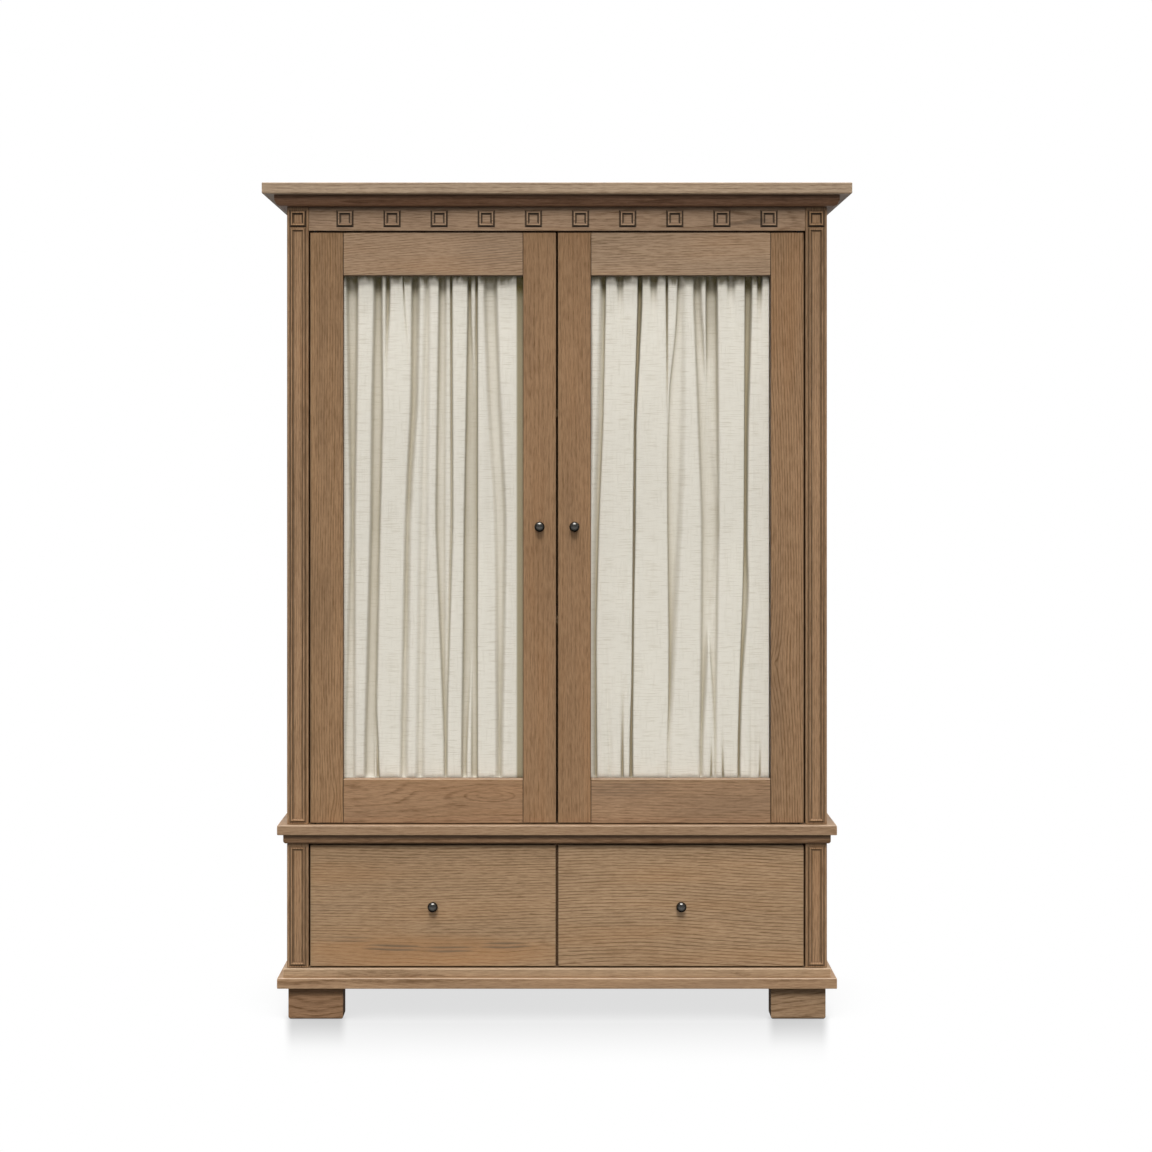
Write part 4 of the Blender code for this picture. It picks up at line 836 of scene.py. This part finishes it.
def shaded_folds(tree, cloth, tone, linen):
    """The tone of the cloth's front, with painted shade in closed folds, in gathers and under the
    top rail, and painted light on open cloth near that rail.
    """
    openness = tree.attribute("openness")
    _, y, z = tree.split(tree.place())
    below_rail = OPENING_TOP - z
    on_front = tree.fade(y - tree.attribute("middle_y"), 0.00025, 0.00010)
    in_sight = on_front * tree.fade(below_rail, -0.014, -0.006)
    # Painted shade in the closed folds
    closed = on_front * tree.fade(openness, 0.99, 0.42)
    tone = tree.blend(closed, tone, rgba(linen, FOLD_SHADE))
    # Painted light: the open cloth is paler towards the top rail
    tone = tree.scaled(tone, 1 + 0.11 * (1 - closed) * tree.fade(below_rail, 0.50, 0.05))
    # Painted shade in the gathers close under the top rail, and in closed folds higher up
    pinched = in_sight * tree.fade(openness, 0.97, 0.60)
    gather_shade = 0.85 * pinched * tree.fade(below_rail, 0.066, 0.016)
    gather_shade = gather_shade + 0.25 * closed * tree.fade(below_rail, 0.20, 0.05)
    tone = tree.blend(gather_shade, tone, rgba(linen, GATHER_SHADE))
    # Painted shadow of the top rail, reaching unevenly down the cloth
    lump = tree.grey_noise(cloth, (60, 0, 1), seed=9.0)
    under_rail_shade = in_sight * tree.fade(below_rail - 0.050 * (lump - 0.5), 0.019, 0.001)
    return tree.blend(0.80 * under_rail_shade, tone, rgba(linen, RAIL_SHADOW))


def knob_line(reach, ball_radius):
    """The line that is turned: (reach, radius) from the wall to the tip of the ball."""
    rose_radius = 0.0090
    rose_depth = 0.0025
    neck_radius = 0.0046
    ball_depth = 0.021
    rim = 0.0009
    rim_steps = 4
    ball_steps = 26
    points = [(0.0, 0.0), (0.0, rose_radius)]
    for step in range(1, rim_steps + 1):
        turn = math.pi / 2 * step / rim_steps
        points.append((rose_depth - rim + rim * math.sin(turn),
                       rose_radius - rim + rim * math.cos(turn)))
    for out, wider in ((0.0, 0.0012), (0.0006, 0.0004), (0.0016, 0.0)):
        points.append((rose_depth + out, neck_radius + wider))
    middle = reach - ball_depth / 2
    start = math.asin(neck_radius / ball_radius) + 0.02
    for step in range(ball_steps):
        turn = start + (math.pi - start) * step / ball_steps
        points.append((middle - ball_depth / 2 * math.cos(turn), ball_radius * math.sin(turn)))
    points.append((reach, 0.0))
    return points


def turned_knob(name, node_name, body):
    """A ball knob turned about the axis on which its CAD solid lies.

    Its attribute rim is the distance from a point a little over the middle of the ball, as a
    share of the radius; the bronze finish paints shade by it on the rim and the lower side.
    """
    low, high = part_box(node_name)
    middle = (low + high) / 2
    radius = (high.z - low.z) / 2
    rim_centre = 0.25 * radius
    form = bmesh.new()
    line = [form.verts.new((middle.x + out, high.y - reach, middle.z))
            for reach, out in knob_line(high.y - low.y, radius)]
    edges = [form.edges.new(pair) for pair in zip(line, line[1:])]
    bmesh.ops.spin(form, geom=line + edges, cent=(middle.x, 0, middle.z), axis=(0, 1, 0),
                   angle=2 * math.pi, steps=bpy.context.scene.cabinet_fittings.knob_segments,
                   use_merge=True)
    bmesh.ops.remove_doubles(form, verts=form.verts, dist=0.000005)
    bmesh.ops.recalc_face_normals(form, faces=form.faces)
    rim_layer = form.verts.layers.float.new("rim")
    for vert in form.verts:
        rise = vert.co.z - middle.z - rim_centre
        vert[rim_layer] = math.hypot(vert.co.x - middle.x, rise) / radius
    knob = object_from(form, name)
    knob.data.shade_smooth()
    knob.data.set_sharp_from_angle(angle=math.radians(48))
    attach(knob, body)
    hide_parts(node_name)
    return knob


def fold_keys(keys, share):
    """A valley's left edge, right edge and depth at a height share of the opening."""
    keys = np.array(keys)
    return [np.interp(share, keys[:, 0], keys[:, column]) for column in (1, 2, 3)]


def soft_step(value):
    """0 below 0 and 1 above 1, with a soft rise between."""
    value = np.clip(value, 0.0, 1.0)
    return value * value * (3.0 - 2.0 * value)


def ramp(value, start, width):
    """0 where the value is at start and 1 where it is that much greater."""
    return soft_step((value - start) / width)


def blurred(rows, width):
    """Rows smoothed along their last axis by a bell curve that many samples wide."""
    reach = max(1, int(width * 3))
    bell = np.exp(-0.5 * (np.arange(-reach, reach + 1) / width) ** 2)
    bell /= bell.sum()
    padded = np.pad(rows, ((0, 0), (reach, reach)), mode="edge")
    return np.array([np.convolve(row, bell, mode="valid") for row in padded])


def soft_noise(draw, rows, columns, row_cells, column_cells):
    """Smooth noise between -1 and 1 on a grid of rows and columns."""
    coarse = draw.uniform(-1.0, 1.0, (row_cells + 1, column_cells + 1))
    across = np.linspace(0, column_cells, columns)
    left = np.minimum(across.astype(int), column_cells - 1)
    part = soft_step(across - left)
    wide = coarse[:, left] * (1 - part) + coarse[:, left + 1] * part
    down = np.linspace(0, row_cells, rows)
    upper = np.minimum(down.astype(int), row_cells - 1)
    part = soft_step(down - upper)[:, None]
    return wide[upper] * (1 - part) + wide[upper + 1] * part


def fold_field(valleys, heights, across):
    """How far back the cloth lies, 0 on a crest and 1 at the back, by height and place across."""
    opening = OPENING_TOP - OPENING_FOOT
    share = np.clip((OPENING_TOP - np.array(heights)) / opening, 0.0, 1.0)
    across = across[None, :]
    front = np.ones((len(heights), across.size))
    for (left_soft, right_soft), *keys in valleys:
        left, right, depth = (blurred(line[None, :], 2.5)[0] for line in fold_keys(keys, share))
        enter = soft_step((across - left[:, None]) / (2 * left_soft) + 0.5)
        leave = soft_step((right[:, None] - across) / (2 * right_soft) + 0.5)
        front *= 1.0 - np.clip(depth, 0.0, 1.0)[:, None] * enter * leave
    sharp = 1.0 - front
    round_over = blurred(sharp, across.size * 0.022)
    return 0.74 * sharp + 0.26 * round_over


def cloth_path(rod_z, edge_z):
    """Heights along the cloth, from its back hem over the top edge, down the front and up again.

    Each row is (z, layer), where layer is -1 on the front and 1 behind the rods. The hem ends
    that far past a rod, the edge is a bend of that radius, and the rows lie close by a rod.
    """
    low, high = rod_z
    hem = 0.013
    edge = 0.0011
    close = 0.0028
    by_rod = 0.034
    bend = (0.9, 0.0, -0.9)
    upper, lower = edge_z[1] - edge, edge_z[0] + edge
    rows = [(z, 1.0) for z in np.arange(high - hem, upper, close)]
    rows += [(upper + edge * math.cos(turn), math.sin(turn)) for turn in bend]
    rows += [(z, -1.0) for z in np.arange(upper, high - by_rod, -close)]
    rows += [(z, -1.0) for z in np.linspace(high - by_rod, low + by_rod, 104)]
    rows += [(z, -1.0) for z in np.arange(low + by_rod - close, lower, -close)]
    rows += [(lower - edge * math.cos(turn), -math.sin(turn)) for turn in bend]
    rows += [(z, 1.0) for z in np.arange(lower, low + hem, close)]
    return rows


def gathered_cloth(side, valleys, seed):
    """Points of a gathered curtain, row by row, and the length of cloth along and across."""
    curtain = bpy.context.scene.cabinet_curtains
    low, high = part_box(f"{side}_door_curtain")
    rods = [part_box(f"{side}_door_curtain_rod_{end}") for end in ("bottom", "top")]
    rod_radius = (rods[0][1].z - rods[0][0].z) / 2
    rod_z = [(rod[0].z + rod[1].z) / 2 for rod in rods]
    rod_y = rods[0][1].y - rod_radius
    samples = 1500
    edge = 0.0006
    path = cloth_path(rod_z, (low.z + edge, high.z - edge))
    height = np.array([z for z, layer in path])
    layer = np.array([side_of_rod for z, side_of_rod in path])
    past_rod = np.maximum(height - rod_z[1], rod_z[0] - height)
    inward = -past_rod

    draw = np.random.default_rng(seed)
    x = np.linspace(low.x + edge, high.x + (BEHIND_STILE if side == "left" else -edge), samples)
    fold = fold_field(valleys, height, (x - x[0]) / (high.x - low.x - 2 * edge))
    rows = len(path)
    upper_gather = soft_noise(draw, rows, samples, 3, 44)
    lower_gather = soft_noise(draw, rows, samples, 3, 38)
    gather = np.where((height > sum(rod_z) / 2)[:, None], upper_gather, lower_gather)
    wrinkle = soft_noise(draw, rows, samples, 9, 70) * 0.5 + soft_noise(draw, rows, samples, 5, 26)
    dent = soft_noise(draw, rows, samples, 26, 16)

    # How the rows by a rod lie: in a pocket round it, flat at it and puckered next to it, and
    # free to fold and wrinkle farther inward
    pocket_reach = 0.0095
    play = 0.0004
    seam = 0.0011
    out = 0.0022
    round_rod = np.sqrt(np.clip(1 - (past_rod / pocket_reach) ** 2, 0, 1)) * (rod_radius + play)
    pocket = seam + round_rod
    at_rod = 1 - ramp(np.abs(past_rod), 0.004, 0.006)
    fullness = np.where(past_rod < 0, ramp(inward, 0.005, 0.024),
                        0.30 * ramp(past_rod, 0.007, 0.01))
    pucker = np.where(past_rod < 0, 1 - ramp(inward, 0.012, 0.060), 1.0) * (1 - at_rod)
    free = ramp(inward, 0.010, 0.050)

    y = rod_y + (layer * pocket)[:, None] * (1 - fullness)[:, None]
    y = y + (layer * at_rod * out)[:, None] * (0.5 + 0.5 * gather)
    y = y + (pucker * out)[:, None] * gather
    y = y + (fold - 0.5) * curtain.fold_depth * fullness[:, None]
    y = y + free[:, None] * (0.00045 * wrinkle + 0.0007 * dent) * (0.35 + fold)
    front_limit = low.y + curtain.thickness / 2 + 0.0002
    back_limit = high.y - curtain.thickness / 2 + 0.0012
    y = np.clip(y, front_limit, back_limit)

    columns = curtain.columns + 1
    points = np.zeros((rows, columns, 3))
    widths = []
    for row in range(rows):
        along = np.concatenate(([0.0], np.cumsum(np.hypot(np.diff(x), np.diff(y[row])))))
        even = np.linspace(0.0, along[-1], columns)
        points[row, :, 0] = np.interp(even, along, x)
        points[row, :, 1] = np.interp(even, along, y[row])
        points[row, :, 2] = height[row]
        widths.append(along[-1])
    points[:, :, 1] = smoothed_down(points[:, :, 1], layer)
    step = np.linalg.norm(np.diff(points, axis=0), axis=2).mean(axis=1)
    lengths = np.concatenate(([0.0], np.cumsum(step)))
    return points, lengths, float(np.mean(widths))


def open_to_front(points):
    """How open each point of each row is to the front: 1 on a crest, less down in a valley."""
    farthest = 35
    least_apart = 0.0004
    x = points[:, :, 0]
    y = points[:, :, 1]
    side_view = []
    for turn in (1, -1):
        steepest = np.zeros(x.shape)
        for step in range(1, farthest + 1):
            near, far = (slice(0, -step), slice(step, None))[::turn]
            apart = np.abs(x[:, far] - x[:, near]) + least_apart
            steepest[:, near] = np.maximum(steepest[:, near], (y[:, near] - y[:, far]) / apart)
        side_view.append(1 / np.sqrt(1 + steepest ** 2))
    return (side_view[0] + side_view[1]) / 2


def lit_beside_stile(x):
    """Less than 1 on the strip of cloth that lies in the shade of the left door's inner stile."""
    past_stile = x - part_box("left_door_meeting_stile")[0].x
    return 1 - 0.62 * ramp(past_stile, -0.0205, 0.0095) * (past_stile < 0.001)


def smoothed_down(field, layer):
    """The cloth eased along its length, without drawing the two layers together."""
    eased = field.copy()
    same = (layer[:-2] == layer[1:-1]) & (layer[2:] == layer[1:-1])
    middle = 0.25 * field[:-2] + 0.5 * field[1:-1] + 0.25 * field[2:]
    eased[1:-1] = np.where(same[:, None], middle, field[1:-1])
    return eased


def hang_curtain(side, valleys, seed, material):
    """Hang one curtain: a single cloth, sewn into a pocket round each rod."""
    curtain = bpy.context.scene.cabinet_curtains
    points, lengths, width = gathered_cloth(side, valleys, seed)
    rows, columns, _ = points.shape
    # openness drives the painted shade of the linen, in closed folds and in the strip beside the
    # left door's inner stile
    openness = open_to_front(points) * lit_beside_stile(points[:, :, 0])
    form = bmesh.new()
    bmesh.ops.create_grid(form, x_segments=columns - 1, y_segments=rows - 1, size=1.0)
    place_in_cloth = {}
    open_layer = form.verts.layers.float.new("openness")
    middle_layer = form.verts.layers.float.new("middle_y")
    for vert in form.verts:
        column = round((vert.co.x + 1) / 2 * (columns - 1))
        row = round((vert.co.y + 1) / 2 * (rows - 1))
        place_in_cloth[vert] = (column / (columns - 1) * width, lengths[row])
        vert[open_layer] = openness[row, column]
        vert[middle_layer] = points[row, column, 1]
        vert.co = points[row, column]
    layer = form.loops.layers.uv.new("cloth")
    for face in form.faces:
        for loop in face.loops:
            loop[layer].uv = place_in_cloth[loop.vert]
    name = f"{side}_door_linen_curtain"
    cloth = object_from(form, name)
    cloth.data.shade_smooth()
    wall = cloth.modifiers.new("Cloth thickness", "SOLIDIFY")
    wall.thickness = curtain.thickness
    wall.offset = 0.0
    dress(cloth, material)
    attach(cloth, f"{side}_door")
    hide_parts(f"{side}_door_curtain")
    print(f"{name}: cloth {width:.3f} m wide and {lengths[-1]:.3f} m long, {rows} rows")


def soft_light(name, elevation, level, spread, around=0.0, mirrored=False):
    """A far, wide light at an elevation over the horizon, turned around from the front."""
    lamp = bpy.data.lights.new(name, "SUN")
    lamp.energy = level
    lamp.angle = spread
    holder = bpy.data.objects.new(name, lamp)
    bpy.context.scene.collection.objects.link(holder)
    holder.location = (0.0, -3.0, 4.0)
    holder.rotation_euler = (math.pi / 2 - elevation, 0.0, around)
    holder.visible_glossy = mirrored
    holder.visible_transmission = mirrored


def seen_by_eye(tree, mirrored):
    """1 for rays that end in the eye, straight or through glass, and mirrored for reflections.

    A ray that has met a dull surface on its way brings light to that surface, and gets 0.
    """
    path = tree.node("ShaderNodeLightPath").outputs
    straight = tree.greatest(path["Is Camera Ray"], path["Is Transmission Ray"])
    seen = tree.greatest(straight, mirrored * Number(tree, path["Is Glossy Ray"]))
    return seen * tree.maths("LESS_THAN", path["Diffuse Depth"], 0.5)


class CABINET_OT_stage(bpy.types.Operator):
    """Pale floor, soft lights, white surround and the level camera"""
    bl_idname = "cabinet.stage"
    bl_label = "Stage"

    def execute(self, context):
        scene = context.scene
        stage = scene.cabinet_stage
        scene.view_settings.view_transform = "Standard"
        self.add_camera(scene, stage)
        self.add_floor(stage)
        self.add_surround(scene, stage)
        soft_light("key_light", stage.key_elevation, stage.key_light, math.radians(16))
        soft_light("fill_light", math.radians(8), stage.fill_light, math.radians(30))
        soft_light("overhead_light", math.radians(78), stage.overhead_light, math.radians(40),
                   mirrored=True)
        for name, around in (("rear_light_left", -135), ("rear_light_right", 135)):
            soft_light(name, math.radians(35), stage.rear_light, math.radians(30),
                       math.radians(around))
        return {"FINISHED"}

    def add_camera(self, scene, stage):
        camera = bpy.data.objects.new("camera", bpy.data.cameras.new("camera"))
        camera.data.sensor_width = 36.0
        camera.data.lens = stage.lens
        camera.data.shift_x = 0.0165
        camera.data.shift_y = -0.1050
        camera.data.clip_end = 200.0
        camera.location = (0.0, CAD_BOX[0].y - stage.camera_distance, stage.camera_height)
        camera.rotation_euler = (math.pi / 2, 0.0, 0.0)
        scene.collection.objects.link(camera)
        scene.camera = camera

    def add_floor(self, stage):
        """Lay a white floor with a soft shade under the case and ahead of each front foot."""
        form = bmesh.new()
        bmesh.ops.create_grid(form, x_segments=2, y_segments=2, size=30.0)
        floor = object_from(form, "floor")
        material, tree = new_material("pale_floor")
        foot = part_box("foot_front_right")
        x, y, _ = tree.split(tree.place())
        ahead = foot[0].y - y
        away = stage.camera_distance + foot[0].y - CAD_BOX[0].y
        beside = abs(x) / (1 - ahead / away)
        inside = tree.fade(beside, foot[1].x + 0.014, foot[1].x - 0.012)
        by_foot = inside * tree.fade(beside, foot[0].x - 0.014, foot[0].x + 0.012)
        # Painted shade on the floor: from ambient occlusion, and as fixed shadows ahead of the case
        # and of each front foot
        ahead_of_case = inside * tree.fade(ahead, -0.04, 0.05) * tree.fade(ahead, 0.45, 0.05)
        ahead_of_foot = by_foot * tree.fade(ahead, -0.06, 0.0) * tree.fade(ahead, 0.31, -0.03)
        open_sky = tree.node("ShaderNodeAmbientOcclusion", {"samples": 16}, {"Distance": 0.55})
        shade = tree.fade(open_sky.outputs["AO"], 0.0, 0.72)
        level = (1 - stage.floor_shade) + stage.floor_shade * shade
        level = level * (1 - 0.115 * ahead_of_case) * (1 - 0.28 * ahead_of_foot)
        seen = tree.node("ShaderNodeEmission", None, {
            "Color": rgba(stage.floor_colour), "Strength": level})
        unseen = tree.node("ShaderNodeBsdfDiffuse", None, {"Color": (0.14, 0.14, 0.14, 1.0)})
        tree.output(tree.either(seen_by_eye(tree, 0.35), unseen, seen))
        dress(floor, material)

    def add_surround(self, scene, stage):
        world = bpy.data.worlds.new("surround")
        scene.world = world
        tree = ShaderTree(world)
        room = tree.node("ShaderNodeBackground", None,
                         {"Color": WHITE, "Strength": stage.room_light})
        white = tree.node("ShaderNodeBackground", None, {"Color": WHITE, "Strength": 1.0})
        towards = tree.split(tree.node("ShaderNodeTexCoord").outputs["Generated"])[1]
        behind_cabinet = 0.16 + 0.84 * tree.fade(towards, -0.02, 0.06)
        tree.output(tree.either(seen_by_eye(tree, behind_cabinet), room, white),
                    "ShaderNodeOutputWorld")


def finish_boards(slots):
    """Give every board of these slots its own cut of oak."""
    oak = bpy.context.scene.cabinet_oak
    colours = {CASE: oak.case, DOOR: oak.door, DRAWER: oak.drawer, TOP: oak.top, INSIDE: oak.inside}
    for seed, (node_name, wood) in enumerate(BOARDS.items()):
        if wood["slot"] not in slots:
            continue
        colour = rgba(colours[wood["slot"]], wood["tint"])[:3]
        dress(frame["nodes"][node_name], oak_finish(node_name, wood, colour, 1.37 * (seed + 1)))


class CABINET_OT_oak_case(bpy.types.Operator):
    """Oak of the top board, mouldings, posts, sides, boards and feet"""
    bl_idname = "cabinet.oak_case"
    bl_label = "Oak case"

    def execute(self, context):
        finish_boards({CASE, TOP})
        return {"FINISHED"}


class CABINET_OT_oak_doors(bpy.types.Operator):
    """Oak of the door frames and their glass beads"""
    bl_idname = "cabinet.oak_doors"
    bl_label = "Oak door frames"

    def execute(self, context):
        finish_boards({DOOR})
        return {"FINISHED"}


class CABINET_OT_oak_drawers(bpy.types.Operator):
    """Oak of the two drawer fronts"""
    bl_idname = "cabinet.oak_drawers"
    bl_label = "Oak drawer fronts"

    def execute(self, context):
        finish_boards({DRAWER})
        return {"FINISHED"}


class CABINET_OT_oak_inside(bpy.types.Operator):
    """Paler oak of the shelves, backs, drawer boxes and guides"""
    bl_idname = "cabinet.oak_inside"
    bl_label = "Oak inside"

    def execute(self, context):
        finish_boards({INSIDE})
        return {"FINISHED"}


class CABINET_OT_panes(bpy.types.Operator):
    """Clear glass in both doors"""
    bl_idname = "cabinet.panes"
    bl_label = "Glass panes"

    def execute(self, context):
        glass = glass_finish()
        for side in SIDES:
            dress(frame["nodes"][f"{side}_door_glass"], glass)
        return {"FINISHED"}


class CABINET_OT_rods(bpy.types.Operator):
    """Steel of the curtain rods and the door pivots"""
    bl_idname = "cabinet.rods"
    bl_label = "Rods and pivots"

    def execute(self, context):
        bright = steel_finish("drawn_steel", 1.0)
        aged = steel_finish("aged_steel", 0.16)
        for side in SIDES:
            for end in ("top", "bottom"):
                dress(frame["nodes"][f"{side}_door_curtain_rod_{end}"], bright)
                dress(frame["nodes"][f"pivot_{end}_{side}"], aged)
        return {"FINISHED"}


class CABINET_OT_knobs(bpy.types.Operator):
    """Four turned ball knobs, on the doors and drawers"""
    bl_idname = "cabinet.knobs"
    bl_label = "Knobs"

    def execute(self, context):
        bronze = bronze_finish()
        for side in SIDES:
            for carrier in ("door", "drawer"):
                node_name = f"{side}_{carrier}_knob"
                knob = turned_knob(f"{side}_{carrier}_turned_knob", node_name, f"{side}_{carrier}")
                dress(knob, bronze)
        return {"FINISHED"}


class CABINET_OT_curtains(bpy.types.Operator):
    """Gathered linen curtains on their rods, behind the glass"""
    bl_idname = "cabinet.curtains"
    bl_label = "Curtains"

    def execute(self, context):
        linen = linen_finish()
        hang_curtain("left", LEFT_VALLEYS, seed=11, material=linen)
        hang_curtain("right", RIGHT_VALLEYS, seed=23, material=linen)
        return {"FINISHED"}


class CABINET_PT_sidebar(bpy.types.Panel):
    bl_idname = "CABINET_PT_sidebar"
    bl_label = "Tall oak cabinet"
    bl_space_type = "VIEW_3D"
    bl_region_type = "UI"
    bl_category = "Cabinet"

    def draw(self, context):
        for operator in OPERATORS:
            self.layout.operator(operator.bl_idname)
        for group in (context.scene.cabinet_stage, context.scene.cabinet_oak,
                      context.scene.cabinet_fittings, context.scene.cabinet_curtains):
            box = self.layout.box()
            for name in group.bl_rna.properties.keys():
                if name not in ("rna_type", "name"):
                    box.prop(group, name)


GROUPS = {
    "cabinet_stage": StageProperties,
    "cabinet_oak": OakProperties,
    "cabinet_fittings": FittingProperties,
    "cabinet_curtains": CurtainProperties,
}
OPERATORS = (
    CABINET_OT_stage,
    CABINET_OT_oak_case,
    CABINET_OT_oak_doors,
    CABINET_OT_oak_drawers,
    CABINET_OT_oak_inside,
    CABINET_OT_panes,
    CABINET_OT_rods,
    CABINET_OT_knobs,
    CABINET_OT_curtains,
)


def register():
    for name, group in GROUPS.items():
        bpy.utils.register_class(group)
        setattr(bpy.types.Scene, name, PointerProperty(type=group))
    for kind in (*OPERATORS, CABINET_PT_sidebar):
        bpy.utils.register_class(kind)


def unregister():
    for kind in reversed((*OPERATORS, CABINET_PT_sidebar)):
        bpy.utils.unregister_class(kind)
    for name, group in reversed(GROUPS.items()):
        delattr(bpy.types.Scene, name)
        bpy.utils.unregister_class(group)


def main():
    register()
    bpy.ops.cabinet.stage()
    bpy.ops.cabinet.oak_case()
    bpy.ops.cabinet.oak_doors()
    bpy.ops.cabinet.oak_drawers()
    bpy.ops.cabinet.oak_inside()
    bpy.ops.cabinet.panes()
    bpy.ops.cabinet.rods()
    bpy.ops.cabinet.knobs()
    bpy.ops.cabinet.curtains()


if __name__ == "__main__":
    main()
